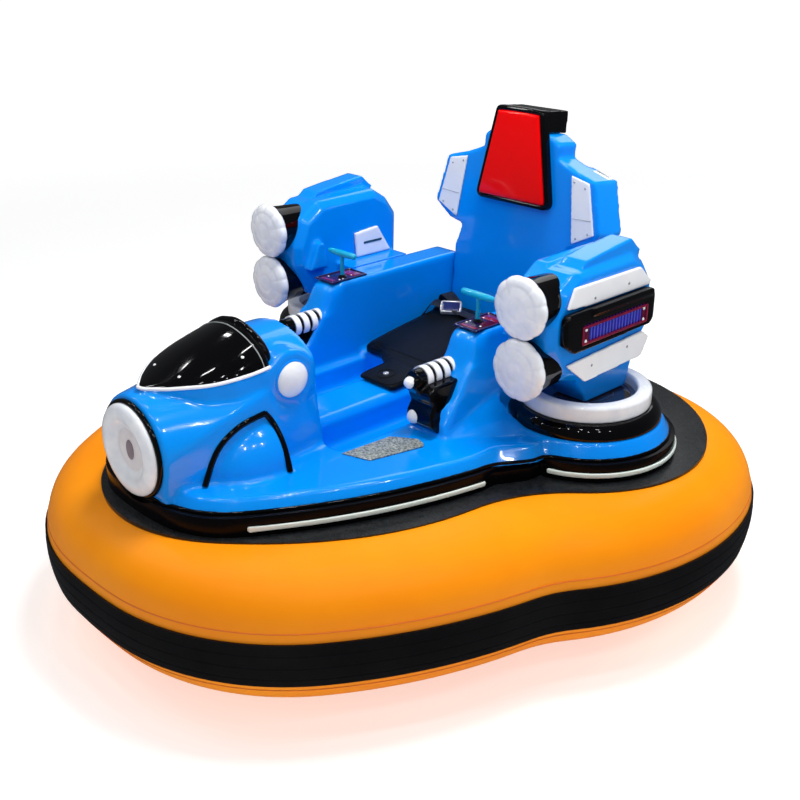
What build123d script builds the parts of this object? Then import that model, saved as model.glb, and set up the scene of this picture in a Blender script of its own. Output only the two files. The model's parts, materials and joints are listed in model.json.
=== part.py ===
from build123d import *
import os
from math import cos, hypot, radians, sin, sqrt

# Inflatable-tube bumper car for one rider, differential drive, in millimetres.
# Frame: +Z up from the floor, front = -Y, the rider's left = +X, origin on the floor under the middle.

# ---------------------------------------------------------------- tube and deck
FRONT_Y = -945.0          # foremost point of the tube's rub band
BAND_THICK = 5.0
BAND_TOP_Z = 298.0
BAND_BOTTOM_Z = 179.0
TUBE_HALF_W = 191.0       # squarish section of the inflated tube
TUBE_HALF_H = 184.0
TUBE_CORNER_R = 130.0
SIDE_BULGE = 7.0          # how far the side and the crown stand out past the corner arcs
CROWN_BULGE = 5.0
TUBE_Z = 261.0            # height of the tube's centre line
DECK_FRONT_Y = -824.0
DECK_LIP = 4.0            # deck above the tube's crest
DECK_THICK = 33.0
# Half outlines from the front centre to the rear centre: radius, turn in degrees (minus bends outwards).
TUBE_OUTLINE = ((1925.0, 2.7), (628.0, 52.4), (1370.0, 21.9), (320.0, -20.8), (730.0, 54.4), (573.0, 69.4))
DECK_OUTLINE = ((400.0, 40.0), (940.0, 19.0), (750.0, 26.0), (380.0, -43.0), (380.0, 70.5), (545.0, 67.5))

# ---------------------------------------------------------------- lower hull
SKIRT_H = 51.0            # black skirt between the deck and the blue hull
SIDE_H = 35.0             # sloping side of the hull above the skirt
HULL_FRONT_Y = -775.0
HULL_OUTLINE = ((890.0, 7.0), (234.0, 49.0), (1477.0, 24.0))
HULL_DRAFT = 38.0         # slope of the hull's side, degrees from upright
SKIRT_OUT = 12.0          # skirt stands out from the hull's edge
HULL_REAR_Y = 700.0
HULL_REAR_HALF = 330.0
HULL_REAR_R = 120.0
TURBINE_X = 507.0
TURBINE_Y = 320.0
TURBINE_EDGE_R = 239.0    # lower edge of the blue cone
TURBINE_NECK_R = 211.0
TURBINE_NECK_H = 45.0
TURBINE_SKIRT_R = 250.0
# Side step between the sill and the turbine, (x, y) at its foot and at its top.
STEP_FOOT = ((330.0, -125.0), (500.0, -115.0), (575.0, 26.0), (580.0, 130.0), (330.0, 130.0))
STEP_TOP = ((330.0, -100.0), (406.0, -106.0), (541.0, 61.0), (545.0, 140.0), (330.0, 140.0))
STEP_DROP = 15.0          # foot of the step below the hull's edge
STEP_SKIRT = ((330.0, -105.0), (490.0, -98.0), (560.0, 32.0), (565.0, 120.0), (330.0, 120.0))

# ---------------------------------------------------------------- cockpit
WELL_IN_X = 80.0
WELL_OUT_X = 222.0
WELL_FRONT_Y = -318.0
WELL_REAR_Y = 170.0
WELL_FLOOR_UP = 13.0      # well's floor above the deck
WELL_CUT_TOP = 900.0
SHELL = 8.0               # laminate thickness of the moulded pieces
TUNNEL_UP = 17.0
TUNNEL_HALF = 70.0
SEAT_HALF = 238.0
BACK_Y = 550.0            # seat back's front face at the sill
SEAT_GAP = 2.0
SOFT_GAP = 0.3            # clearance round the soft cushion

# ---------------------------------------------------------------- running gear
PAN_Z = 236.0
PAN_THICK = 8.0
PAN_GAP = 0.5
RAIL_X = 180.0
RAIL_W = 40.0
RAIL_H = 30.0
RAIL_FRONT_Y = -400.0
RAIL_REAR_Y = 480.0
CROSS_Y = (-380.0, -140.0, 220.0, 460.0)
POSTS = ((180.0, -350.0), (300.0, 120.0), (300.0, 430.0))
POST_W = 40.0
CASTER_PAD = 90.0
DRIVE_X = 300.0
DRIVE_Y = 60.0
DRIVE_R = 100.0
DRIVE_W = 50.0
HUB_R = 62.0
AXLE_R = 10.0
RUN_GAP = 0.05            # radial running clearance of a shaft
TYRE_BEVEL = 8.0
BRACKET_T = 8.0
BRACKET_GAP = 6.0
BRACKET_L = 90.0
CASTER_Y = (-420.0, 440.0)
CASTER_R = 60.0
CASTER_W = 36.0
CASTER_TRAIL = 35.0
CASTER_TOP_Z = 160.0
CASTER_STEM_R = 30.0
CASTER_STEM_H = 24.0
CASTER_PLATE = 8.0
CASTER_LEG_T = 6.0
CASTER_LEG_GAP = 3.0
CASTER_LEG_HALF = 18.0
CASTER_PIN_R = 6.0
BOLT_X = 2 * RAIL_X
BOLT_Y = 600.0
BOLT_R = 6.5
BOLT_MID_Y = -10.0
BOLT_CUT = 200.0
BATTERY_HALF = 170.0
BATTERY_Y = (150.0, 400.0)
BATTERY_AIR = 7.0         # air above the battery

# ---------------------------------------------------------------- lights, nose and canopy
LIGHT_DROP = 30.0         # middle of the light bars below the hull's edge
LIGHT_H = 14.0
LIGHT_OUT = 6.0
LIGHT_FLANK = (200.0, 600.0, -665.0, -90.0)
LIGHT_RING = (582.0, 900.0, 0.0, 535.0)
NOSE_Z = 615.0
COWL_FOOT_Z = 500.0
# Cowl sections: y, half width at the foot, half width at the shoulder, shoulder z, top z.
COWL_SECTIONS = ((-775.0, 118.0, 135.0, 615.0, 750.0), (-620.0, 165.0, 160.0, 690.0, 772.0),
                 (-318.0, 168.0, 132.0, 735.0, 800.0))
DASH_Y = (-455.0, -330.0)
DASH_HALF = 150.0
DASH_FOOT_Z = 690.0
DASH_SIDE_Z = 775.0
DASH_TOP_Z = 835.0
LAMP_DRUM_X = 156.0
LAMP_DRUM_Y = -410.0
LAMP_DRUM_Z = 737.0
LAMP_DRUM_R = 76.0
# Side lens: radius, how far it stands out of the drum.
LENS_ROWS = ((0.0, 18.0), (22.0, 16.0), (37.0, 10.0), (46.0, 2.0), (46.0, 0.0))
CHEEK_AT = (124.0, -487.0, 520.0)
CHEEK_RADII = (106.0, 180.0, 144.0)
CHEEK_KEEP = (0.0, 300.0, -700.0, -478.0, COWL_FOOT_Z, 700.0)
NOSE_TRIM_R = 135.0
NOSE_TRIM_L = 10.0
NOSE_TRIM_BEVEL = 6.0
# Nose lamp's dished face: radius, how far it stands out in front of the trim ring.
NOSE_LAMP_ROWS = ((0.0, 6.0), (38.0, 7.0), (62.0, 15.0), (80.0, 18.0), (100.0, 17.0), (117.0, 8.0),
                  (117.0, 0.0))
# Canopy sections: y, half width, foot z, top z.
CANOPY_SECTIONS = ((-741.0, 12.0, 765.0, 769.0), (-703.0, 58.0, 768.0, 812.0), (-641.0, 112.0, 772.0, 841.0),
                   (-568.0, 141.0, 777.0, 857.0), (-455.0, 148.0, 784.0, 866.0))
RISER_FOOT_Z = 690.0
RISER_OUT = 5.0

# ---------------------------------------------------------------- cockpit fittings
FOOTPLATE = ((245.0, -330.0), (323.0, -305.0), (358.0, -152.0), (347.0, -140.0), (317.0, -132.0),
             (256.0, -174.0))
FOOTPLATE_H = 4.0
CONSOLE_IN_X = SEAT_HALF + 2.0
CONSOLE_REAR_Y = 600.0
CONSOLE_TOP_Z = 785.0
CONSOLE_SKEW = 6.0
# Console levels: z, front y, outer x.
CONSOLE_LEVELS = ((500.0, -110.0, 385.0), (560.0, -85.0, 365.0), (700.0, 20.0, 352.0), (755.0, 42.0, 345.0),
                  (776.0, 50.0, 343.0), (CONSOLE_TOP_Z, 62.0, 337.0))
# Concave flare from the console down to the step: y and the (x, height above the sill) points of its face.
CONSOLE_FLARE = ((-85.0, ((338.0, 75.0), (345.0, 40.0), (353.0, 17.0), (364.0, -2.0))),
                 (125.0, ((340.0, 130.0), (368.0, 65.0), (425.0, 21.0), (532.0, -2.0))))
CONSOLE_PLATE = (249.0, 331.0, 66.0, 205.0)
PLATE_H = 4.0
STICK_X = 278.0
STICK_Y = 130.0
STICK_TOP_Z = CONSOLE_TOP_Z + 77.0
STICK_R = 7.0
HANDLE_R = 10.0
HANDLE_L = 120.0
EXHAUST_X = 273.0
EXHAUST_W = 46.0
# Exhaust block's side outline as (y, z) corners.
EXHAUST_OUTLINE = ((60.0, 695.0), (-108.0, 695.0), (-118.0, 688.0), (-122.0, 668.0), (-100.0, 642.0),
                   (-92.0, 620.0), (-106.0, 596.0), (-106.0, 566.0), (-80.0, 546.0), (-60.0, 536.0),
                   (60.0, 536.0))
BARREL_Z = 682.0
BARREL_Y = (-108.0, 45.0)
BARREL_R = 28.0
# Round white ends: y, z, radius.
EXHAUST_BALLS = ((-119.0, 680.0, 16.0), (-102.0, 580.0, 20.0))
BALL_STEPS = 10
RIB_FRONT_Y = -80.0
RIB_COUNT = 4
RIB_PITCH = 31.0
RIB_W = 19.0
RIB_OUT = 4.0

# ---------------------------------------------------------------- turbines and pods
TURBINE_RING_R = 181.0
TURBINE_RING_H = 38.0
RING_SHRINK = 2.0
COLLAR_R = 179.0
TURBINE_DISC_R = 138.0
COLLAR_H = 44.0
DISC_H = 18.0
POD_IN_X = 415.0
POD_OUT_X = 582.0
# Pod's side outline as (y, z) corners.
POD_OUTLINE = ((170.0, 986.0), (101.0, 939.0), (68.0, 860.0), (68.0, 795.0), (123.0, 700.0), (215.0, 675.0),
               (410.0, 684.0), (470.0, 745.0), (492.0, 770.0), (495.0, 900.0), (455.0, 955.0), (400.0, 990.0))
POD_BEVEL = 22.0
FIN_OUTLINE = ((180.0, 970.0), (215.0, 1028.0), (405.0, 1022.0), (446.0, 985.0), (438.0, 962.0))
FIN_X = (490.0, 562.0)
POD_FOOT = ((200.0, 690.0), (255.0, 600.0), (430.0, 600.0), (455.0, 700.0))
POD_FOOT_X = (450.0, 560.0)
POD_ARM = (280.0, 445.0, 225.0, 460.0, 700.0)
POD_RIDGE = ((100.0, 790.0), (135.0, 868.0), (158.0, 868.0), (170.0, 785.0))
POD_RIDGE_W = 26.0
# Pod lamps: x, y of the rear face, z.
POD_LAMPS = ((507.0, 40.0, 905.0), (510.0, 40.0, 742.0))
# Pod lamp's face: radius, how far it stands in front of its rear face.
POD_LAMP_ROWS = ((0.0, 30.0), (40.0, 28.0), (66.0, 23.0), (78.0, 17.0), (82.0, 9.0), (82.0, 0.0), (0.0, 0.0))
POD_HOUSING_R = 71.0
POD_HOUSING_Y = 180.0
HOUSING_MIN = 20000.0     # smaller offcuts of a housing are left out
# Pod's white side panels and black vent housing, as (y, z) corners.
POD_PANELS = (
    ((113.0, 899.0), (139.0, 952.0), (412.0, 951.0), (463.0, 905.0), (456.0, 893.0), (200.0, 893.0)),
    ((133.0, 740.0), (124.0, 750.0), (444.0, 765.0), (475.0, 743.0), (446.0, 694.0), (203.0, 685.0)),
)
PANEL_H = 10.0
# White plate on the pod's inner face: (y, height above the console) corners, and its slot.
INNER_PANEL = ((296.0, 83.0), (394.0, 92.0), (452.0, 1.0), (303.0, 1.0))
INNER_SLOT_Y = (330.0, 410.0)
INNER_SLOT_UP = (43.0, 49.0)
VENT_OUTLINE = ((93.0, 811.0), (93.0, 875.0), (108.0, 890.0), (450.0, 890.0), (470.0, 872.0), (470.0, 800.0),
                (455.0, 786.0), (135.0, 781.0))
VENT_H = 24.0
VENT_LIP = (195.0, 455.0, 872.0, 889.0)
VENT_LIP_OUT = 8.0
GRILLE_BOX = (165.0, 430.0, 797.0, 850.0)
GRILLE_DEPTH = 12.0
GRILLE_FLOOR = 3.0
SLAT_COUNT = 20
SLAT_W = 5.0

# ---------------------------------------------------------------- seat
BACK_THICK = 85.0
BACK_LEAN = 5.0
# Seat back and wing: (x, height above the sill) corners.
BACK_OUTLINE = ((104.0, 671.0), (147.0, 648.0), (145.0, 608.0), (207.0, 585.0), (212.0, 350.0),
                (234.0, 288.0), (236.0, 0.0))
WING_OUTLINE = ((190.0, 350.0), (210.0, 353.0), (265.0, 365.0), (330.0, 412.0), (290.0, 562.0),
                (190.0, 588.0))
WING_THICK = 105.0
WING_SWEEP = 3.0
WING_PLATE = ((232.0, 372.0), (312.0, 412.0), (275.0, 556.0), (205.0, 570.0))
WING_PLATE_H = 6.0
RIM_OUTLINE = ((84.0, 741.0), (91.0, 735.0), (144.0, 478.0), (141.0, 462.0), (126.0, 453.0))
RIM_H = 25.0
RIM_W = 9.0
RED_H = 5.0
HEAD_HALF = 92.0
HEAD_D = 12.0             # head box stands out behind the back
HEAD_H = 66.0
# Cushion: plan as (x, y) corners from the tongue to the back, and its top as (y, height) from front to rear.
CUSHION = ((66.0, -6.0), (78.0, 12.0), (80.0, 105.0), (150.0, 150.0), (228.0, 160.0), (230.0, 540.0))
CUSHION_TOP = ((-6.0, 18.0), (160.0, 32.0), (540.0, 86.0))

# ---------------------------------------------------------------- derived heights
DECK_TOP_Z = TUBE_Z + TUBE_HALF_H + DECK_LIP
DECK_FOOT_Z = DECK_TOP_Z - DECK_THICK
HULL_EDGE_Z = DECK_TOP_Z + SKIRT_H
HULL_TOP_Z = HULL_EDGE_Z + SIDE_H
WELL_FLOOR_Z = DECK_TOP_Z + WELL_FLOOR_UP
TUNNEL_TOP_Z = HULL_TOP_Z + TUNNEL_UP
TURBINE_NECK_Z = HULL_EDGE_Z + TURBINE_NECK_H
TURBINE_RING_Z = TURBINE_NECK_Z + TURBINE_RING_H
PAN_TOP_Z = PAN_Z + PAN_THICK


# ---------------------------------------------------------------- helpers
def half_edges(front_y, rows, inset=0.0, z=0.0):
    """Tangent arcs from the front centre round +X; returns the edges, the end point and the end heading."""
    x, y, heading = 0.0, front_y + inset, 0.0
    edges = []
    for radius, turn in rows:
        side = 1.0 if turn > 0 else -1.0
        r = radius - side * inset
        cx, cy = x - side * r * sin(heading), y + side * r * cos(heading)

        def at(angle):
            return (cx + side * r * sin(angle), cy - side * r * cos(angle), z)

        end = heading + radians(turn)
        edges.append(Edge.make_three_point_arc(at(heading), at((heading + end) / 2), at(end)))
        x, y, _ = at(end)
        heading = end
    return edges, (x, y), heading


def mirrored(edges):
    return [e.mirror(Plane.YZ) for e in edges]


def closed_wire(front_y, rows, inset=0.0, z=0.0):
    """Whole outline: the half, a straight rear edge and the mirrored half."""
    edges, (x, y), _ = half_edges(front_y, rows, inset, z)
    rear = Edge.make_line((x, y, z), (-x, y, z))
    return Wire(edges + [rear] + mirrored(edges)[::-1])


def plate(wire, height, z=0.0):
    return extrude(Face(wire), amount=height, dir=(0, 0, 1)).moved(Location((0, 0, z)))


def box(x0, x1, y0, y1, z0, z1):
    return Pos((x0 + x1) / 2, (y0 + y1) / 2, (z0 + z1) / 2) * Box(x1 - x0, y1 - y0, z1 - z0)


def prism_x(points, x0, x1):
    """Closed outline of (y, z) points, extruded along X."""
    wire = Wire.make_polygon([(x0, y, z) for y, z in points])
    return extrude(Face(wire), amount=x1 - x0, dir=(1, 0, 0))


def prism_y(points, y0, y1):
    """Closed outline of (x, z) points, extruded along Y."""
    wire = Wire.make_polygon([(x, y0, z) for x, z in points])
    return extrude(Face(wire), amount=y1 - y0, dir=(0, 1, 0))


def flat(points, z):
    """Face of (x, y) points at one height."""
    return Face(Wire.make_polygon([(x, y, z) for x, y in points]))


def rod(start, end, radius):
    """Cylinder between two points."""
    a, b = Vector(*start), Vector(*end)
    plane = Plane(origin=a, z_dir=(b - a).normalized())
    return extrude(plane * Circle(radius), amount=(b - a).length)


def facing(x, z, rows):
    """Closed profile of (radius, y) rows, turned round a front-to-back axis."""
    profile = Wire.make_polygon([(x + r, y, z) for r, y in rows])
    return revolve(Face(profile), axis=Axis((x, 0, z), (0, 1, 0)))


def both(shape):
    """The piece and its mirror image on the other side."""
    return Compound(children=list(shape.solids()) + list(shape.mirror(Plane.YZ).solids()))


def one(shape):
    """The fused shape as a plain solid or compound."""
    solids = shape.solids()
    return solids[0] if len(solids) == 1 else Compound(children=list(solids))


def symmetric(points):
    """Half outline and its mirror image, as one closed run of points."""
    return list(points) + [(-a, b) for a, b in points[::-1]]


parts = {}

# ---------------------------------------------------------------- tube, band, deck
CENTRE_INSET = TUBE_HALF_W + BAND_THICK
centre_line = closed_wire(FRONT_Y, TUBE_OUTLINE, CENTRE_INSET, TUBE_Z)
section_at = Plane(origin=(0, FRONT_Y + CENTRE_INSET, TUBE_Z), x_dir=(0, -1, 0), z_dir=(-1, 0, 0))
corner_x = TUBE_HALF_W - TUBE_CORNER_R - SIDE_BULGE
corner_z = TUBE_HALF_H - TUBE_CORNER_R - CROWN_BULGE


def outer_radius(depth, offset):
    """Radius of the flat arc tangent to a corner arc whose centre is depth inside it and offset along it."""
    return (depth ** 2 + offset ** 2 - TUBE_CORNER_R ** 2) / (2 * (depth - TUBE_CORNER_R))


side_r = outer_radius(TUBE_CORNER_R + SIDE_BULGE, corner_z)
crown_r = outer_radius(TUBE_CORNER_R + CROWN_BULGE, corner_x)
side_x = TUBE_HALF_W - side_r
crown_z = TUBE_HALF_H - crown_r


def on_corner(dx, dz):
    """Point of the corner arc in a direction from its centre."""
    reach = TUBE_CORNER_R / hypot(dx, dz)
    return corner_x + dx * reach, corner_z + dz * reach


side_end = on_corner(corner_x - side_x, corner_z)
crown_end = on_corner(corner_x, corner_z - crown_z)
corner_mid = on_corner(side_end[0] + crown_end[0] - 2 * corner_x, side_end[1] + crown_end[1] - 2 * corner_z)


def quarter(sx, sz):
    """Corner arc, and its mirror images."""
    return [(sx * x, sz * z) for x, z in (side_end, corner_mid, crown_end)]


tube_arcs = [ThreePointArc(*quarter(sx, sz)) for sx in (1, -1) for sz in (1, -1)]
for side in (1, -1):
    x, z = side_end
    tube_arcs.append(ThreePointArc((side * x, -z), (side * TUBE_HALF_W, 0), (side * x, z)))
    x, z = crown_end
    tube_arcs.append(ThreePointArc((-x, side * z), (0, side * TUBE_HALF_H), (x, side * z)))
tube = sweep(section_at * make_face(tube_arcs), path=centre_line)
parts["bumper_tube"] = tube


def band_point(radius, z):
    lift = z - TUBE_Z
    return side_x + sqrt(radius ** 2 - lift ** 2), lift


band_levels = (BAND_BOTTOM_Z, (BAND_BOTTOM_Z + BAND_TOP_Z) / 2, BAND_TOP_Z)
inner, outer = [[band_point(r, z) for z in band_levels] for r in (side_r, side_r + BAND_THICK)]
band_section = make_face([ThreePointArc(*inner), Line(inner[2], outer[2]), ThreePointArc(*outer),
                          Line(outer[0], inner[0])])
parts["bumper_band"] = sweep(section_at * band_section, path=centre_line)
deck = plate(closed_wire(DECK_FRONT_Y, DECK_OUTLINE), DECK_THICK, DECK_FOOT_Z)
parts["deck"] = one(deck - tube)


# ---------------------------------------------------------------- lower hull
def hull_outline(inset, z):
    """Boat-shaped plan: nose arcs, flanks, straight sides and a rounded rear."""
    edges, (x, y), _ = half_edges(HULL_FRONT_Y, HULL_OUTLINE, inset, z)
    corner = (TURBINE_X - inset, TURBINE_Y, z)
    rear_side = (HULL_REAR_HALF - inset, HULL_REAR_Y - HULL_REAR_R, z)
    rear_end = (HULL_REAR_HALF - HULL_REAR_R, HULL_REAR_Y - inset, z)
    bulge = HULL_REAR_R * (1 - cos(radians(45)))
    middle = (HULL_REAR_HALF - inset - bulge, HULL_REAR_Y - inset - bulge, z)
    edges.append(Edge.make_line((x, y, z), corner))
    edges.append(Edge.make_line(corner, rear_side))
    edges.append(Edge.make_three_point_arc(rear_side, middle, rear_end))
    rear = Edge.make_line(rear_end, (-rear_end[0], rear_end[1], z))
    return Wire(edges + [rear] + mirrored(edges)[::-1])


def turbine_disc(radius, z0, z1):
    """Drum on the near side's turbine axis."""
    return Pos(TURBINE_X, TURBINE_Y, (z0 + z1) / 2) * Cylinder(radius, z1 - z0)


well = box(WELL_IN_X, WELL_OUT_X, WELL_FRONT_Y, WELL_REAR_Y, WELL_FLOOR_Z, WELL_CUT_TOP)
skirt = plate(hull_outline(-SKIRT_OUT, 0.0), SKIRT_H, DECK_TOP_Z)
skirt += both(turbine_disc(TURBINE_SKIRT_R, DECK_TOP_Z, HULL_EDGE_Z))
skirt += both(extrude(flat(STEP_SKIRT, DECK_TOP_Z), amount=SKIRT_H, dir=(0, 0, 1)))
skirt -= both(well)

hull_top = hull_outline(SIDE_H * sin(radians(HULL_DRAFT)), HULL_TOP_Z)
hull = loft([Face(hull_outline(0.0, HULL_EDGE_Z)), Face(hull_top)], ruled=True)
cone_z = HULL_EDGE_Z + TURBINE_NECK_H / 2
hull += both(Pos(TURBINE_X, TURBINE_Y, cone_z) * Cone(TURBINE_EDGE_R, TURBINE_NECK_R, TURBINE_NECK_H))
step = loft([flat(STEP_FOOT, HULL_EDGE_Z - STEP_DROP), flat(STEP_TOP, HULL_TOP_Z)], ruled=True)
hull += both(step)
tub = box(WELL_IN_X - SHELL, WELL_OUT_X + SHELL, WELL_FRONT_Y - SHELL, WELL_REAR_Y + SHELL,
          WELL_FLOOR_Z - SHELL, HULL_EDGE_Z)
hull += both(tub)
hull -= both(well)
hull += box(-TUNNEL_HALF, TUNNEL_HALF, WELL_FRONT_Y, WELL_REAR_Y, HULL_EDGE_Z, TUNNEL_TOP_Z)
hull += box(-SEAT_HALF, SEAT_HALF, WELL_REAR_Y, BACK_Y - SEAT_GAP, HULL_EDGE_Z, TUNNEL_TOP_Z)
hull = one(hull)
parts["hull"] = hull
nose_recess = rod((0, HULL_FRONT_Y - NOSE_TRIM_R, NOSE_Z), (0, HULL_FRONT_Y, NOSE_Z), NOSE_TRIM_R + PAN_GAP)
parts["hull_skirt"] = one(skirt - hull - nose_recess)

# Light bars that follow the skirt's flank and go round the turbines.
light_z = HULL_EDGE_Z - LIGHT_DROP
light_span = (light_z - LIGHT_H / 2, light_z + LIGHT_H / 2)
around = plate(hull_outline(-SKIRT_OUT - LIGHT_OUT, 0.0), LIGHT_H, light_span[0])
flank = around - plate(hull_outline(-SKIRT_OUT, 0.0), LIGHT_H, light_span[0])
flank = flank & box(*LIGHT_FLANK, *light_span)
ring = turbine_disc(TURBINE_SKIRT_R + LIGHT_OUT, *light_span) - turbine_disc(TURBINE_SKIRT_R, *light_span)
arc = ring & box(*LIGHT_RING, *light_span)
parts["skirt_lights"] = both(Compound(children=[*flank.solids(), *arc.solids()]))


# ---------------------------------------------------------------- nose
def arch(y, half_foot, half_side, side_z, top_z, foot_z=COWL_FOOT_Z):
    """Cross-section with a flat foot, straight sides and a round top."""
    return Face(Wire([
        Edge.make_line((-half_foot, y, foot_z), (half_foot, y, foot_z)),
        Edge.make_line((half_foot, y, foot_z), (half_side, y, side_z)),
        Edge.make_three_point_arc((half_side, y, side_z), (0, y, top_z), (-half_side, y, side_z)),
        Edge.make_line((-half_side, y, side_z), (-half_foot, y, foot_z)),
    ]))


def riser_section(y, half, foot_z):
    """Flat-topped section of the seat under the canopy."""
    half += RISER_OUT
    return Face(Wire.make_polygon([(-half, y, RISER_FOOT_Z), (half, y, RISER_FOOT_Z), (half, y, foot_z),
                                   (-half, y, foot_z)]))


cowl = loft([arch(*row) for row in COWL_SECTIONS])
cowl += loft([riser_section(*row[:3]) for row in CANOPY_SECTIONS], ruled=True)
dash = arch(DASH_Y[0], DASH_HALF, DASH_HALF, DASH_SIDE_Z, DASH_TOP_Z, DASH_FOOT_Z)
cowl += extrude(dash, amount=DASH_Y[1] - DASH_Y[0], dir=(0, 1, 0))
cowl += rod((-LAMP_DRUM_X, LAMP_DRUM_Y, LAMP_DRUM_Z), (LAMP_DRUM_X, LAMP_DRUM_Y, LAMP_DRUM_Z), LAMP_DRUM_R)
cheek = Pos(*CHEEK_AT) * scale(Sphere(1.0), by=CHEEK_RADII)
cowl += both(cheek & box(*CHEEK_KEEP))
lens_seat = (LAMP_DRUM_X, LAMP_DRUM_Y, LAMP_DRUM_Z)
cowl -= both(rod(lens_seat, (LAMP_DRUM_X + SHELL, LAMP_DRUM_Y, LAMP_DRUM_Z), LAMP_DRUM_R))
cowl -= hull
cowl = one(cowl)
parts["nose_cowl"] = cowl

# Dished white lamp on a black trim ring.
trim_y = COWL_SECTIONS[0][0]
face_y = trim_y - NOSE_TRIM_L
trim_rows = ((0.0, trim_y), (0.0, face_y), (NOSE_TRIM_R - NOSE_TRIM_BEVEL, face_y),
             (NOSE_TRIM_R, face_y + NOSE_TRIM_BEVEL), (NOSE_TRIM_R, trim_y))
parts["nose_trim"] = facing(0.0, NOSE_Z, trim_rows)
parts["nose_lamp"] = facing(0.0, NOSE_Z, [(r, face_y - out) for r, out in NOSE_LAMP_ROWS] + [(0.0, face_y)])


def hood(y, half, foot_z, top_z):
    return Face(Wire([
        Edge.make_line((-half, y, foot_z), (half, y, foot_z)),
        Edge.make_three_point_arc((half, y, foot_z), (0, y, top_z), (-half, y, foot_z)),
    ]))


canopy = loft([hood(*row) for row in CANOPY_SECTIONS], ruled=True) - cowl
parts["canopy"] = max(canopy.solids(), key=lambda s: s.volume)

lens_points = [(LAMP_DRUM_X + out, LAMP_DRUM_Y + r, LAMP_DRUM_Z) for r, out in LENS_ROWS + ((0.0, 0.0),)]
lens = revolve(Face(Wire.make_polygon(lens_points)), axis=Axis((0, LAMP_DRUM_Y, LAMP_DRUM_Z), (1, 0, 0)))
parts["side_lamps"] = both(lens)

parts["footplates"] = both(extrude(flat(FOOTPLATE, HULL_TOP_Z), amount=FOOTPLATE_H, dir=(0, 0, 1)))


# ---------------------------------------------------------------- consoles
def console_level(z, front_y, out_x):
    return flat(((CONSOLE_IN_X, front_y), (out_x, front_y + CONSOLE_SKEW), (out_x, CONSOLE_REAR_Y),
                 (CONSOLE_IN_X, CONSOLE_REAR_Y)), z)


def flare_section(y, points):
    """Closed section under the flare's face, back to a line inside the console."""
    inner_x = CONSOLE_IN_X + SHELL
    outline = (*points, (inner_x, points[-1][1]), (inner_x, points[0][1]))
    return Face(Wire.make_polygon([(x, y, HULL_TOP_Z + up) for x, up in outline]))


console = loft([console_level(*row) for row in CONSOLE_LEVELS], ruled=True)
console += loft([flare_section(*row) for row in CONSOLE_FLARE], ruled=True)
console = one(console)
parts["console_left"] = one(console - hull)
parts["console_right"] = parts["console_left"].mirror(Plane.YZ)
plate_top = CONSOLE_TOP_Z + PLATE_H
parts["console_plates"] = both(box(*CONSOLE_PLATE, CONSOLE_TOP_Z, plate_top))
stick = rod((STICK_X, STICK_Y, plate_top), (STICK_X, STICK_Y, STICK_TOP_Z), STICK_R)
handle_x = (STICK_X - HANDLE_L / 2, STICK_X + HANDLE_L / 2)
stick += rod((handle_x[0], STICK_Y, STICK_TOP_Z), (handle_x[1], STICK_Y, STICK_TOP_Z), HANDLE_R)
stick += rod((STICK_X, STICK_Y, plate_top), (STICK_X, STICK_Y, plate_top + STICK_R), 2 * STICK_R)
parts["joysticks"] = both(stick)


# Dummy exhaust in front of each console: black block and barrel, white ribs and round ends.
def barrel(y0, y1, radius):
    return rod((EXHAUST_X, y0, BARREL_Z), (EXHAUST_X, y1, BARREL_Z), radius)


block = prism_x(EXHAUST_OUTLINE, EXHAUST_X - EXHAUST_W / 2, EXHAUST_X + EXHAUST_W / 2)
block += barrel(*BARREL_Y, BARREL_R)
block = one(block - console - hull)
parts["exhausts"] = both(block)
caps = []
for y, z, radius in EXHAUST_BALLS:
    turns = [radians(180.0 * k / BALL_STEPS) for k in range(BALL_STEPS + 1)]
    ball = facing(EXHAUST_X, z, [(radius * sin(a), y - radius * cos(a)) for a in turns])
    caps.append(max((ball - block).solids(), key=lambda s: s.volume))
for k in range(RIB_COUNT):
    y = RIB_FRONT_Y + k * RIB_PITCH
    rib = barrel(y, y + RIB_W, BARREL_R + RIB_OUT) - barrel(y, y + RIB_W, BARREL_R)
    caps += (rib - console - block).solids()
parts["exhaust_trim"] = both(Compound(children=caps))


# ---------------------------------------------------------------- turbine bases
def turned(rows, z):
    """Closed profile of (radius, height) rows, turned round the turbine's axis."""
    profile = Wire.make_polygon([(TURBINE_X + r, TURBINE_Y, z + h) for r, h in rows])
    return revolve(Face(profile), axis=Axis((TURBINE_X, TURBINE_Y, 0), (0, 0, 1)))


neck_r = TURBINE_NECK_R - RING_SHRINK
ring_rows = ((0.0, 0.0), (neck_r, 0.0), (neck_r, 0.35 * TURBINE_RING_H), (neck_r - 6, 0.75 * TURBINE_RING_H),
             (TURBINE_RING_R + 6, 0.95 * TURBINE_RING_H), (TURBINE_RING_R, TURBINE_RING_H),
             (0.0, TURBINE_RING_H))
parts["turbine_rings"] = both(one(turned(ring_rows, TURBINE_NECK_Z) - console))
collar_rows = ((TURBINE_DISC_R, 0.0), (COLLAR_R - 8, 0.0), (COLLAR_R, 8.0), (COLLAR_R, COLLAR_H - 14),
               (COLLAR_R - 5, COLLAR_H - 5), (COLLAR_R - 14, COLLAR_H), (TURBINE_DISC_R + 10, COLLAR_H),
               (TURBINE_DISC_R, COLLAR_H - 10))
parts["turbine_collars"] = both(one(turned(collar_rows, TURBINE_RING_Z) - console))
disc = turbine_disc(TURBINE_DISC_R, TURBINE_RING_Z, TURBINE_RING_Z + DISC_H)
parts["turbine_discs"] = both(one(disc - console))

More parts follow.
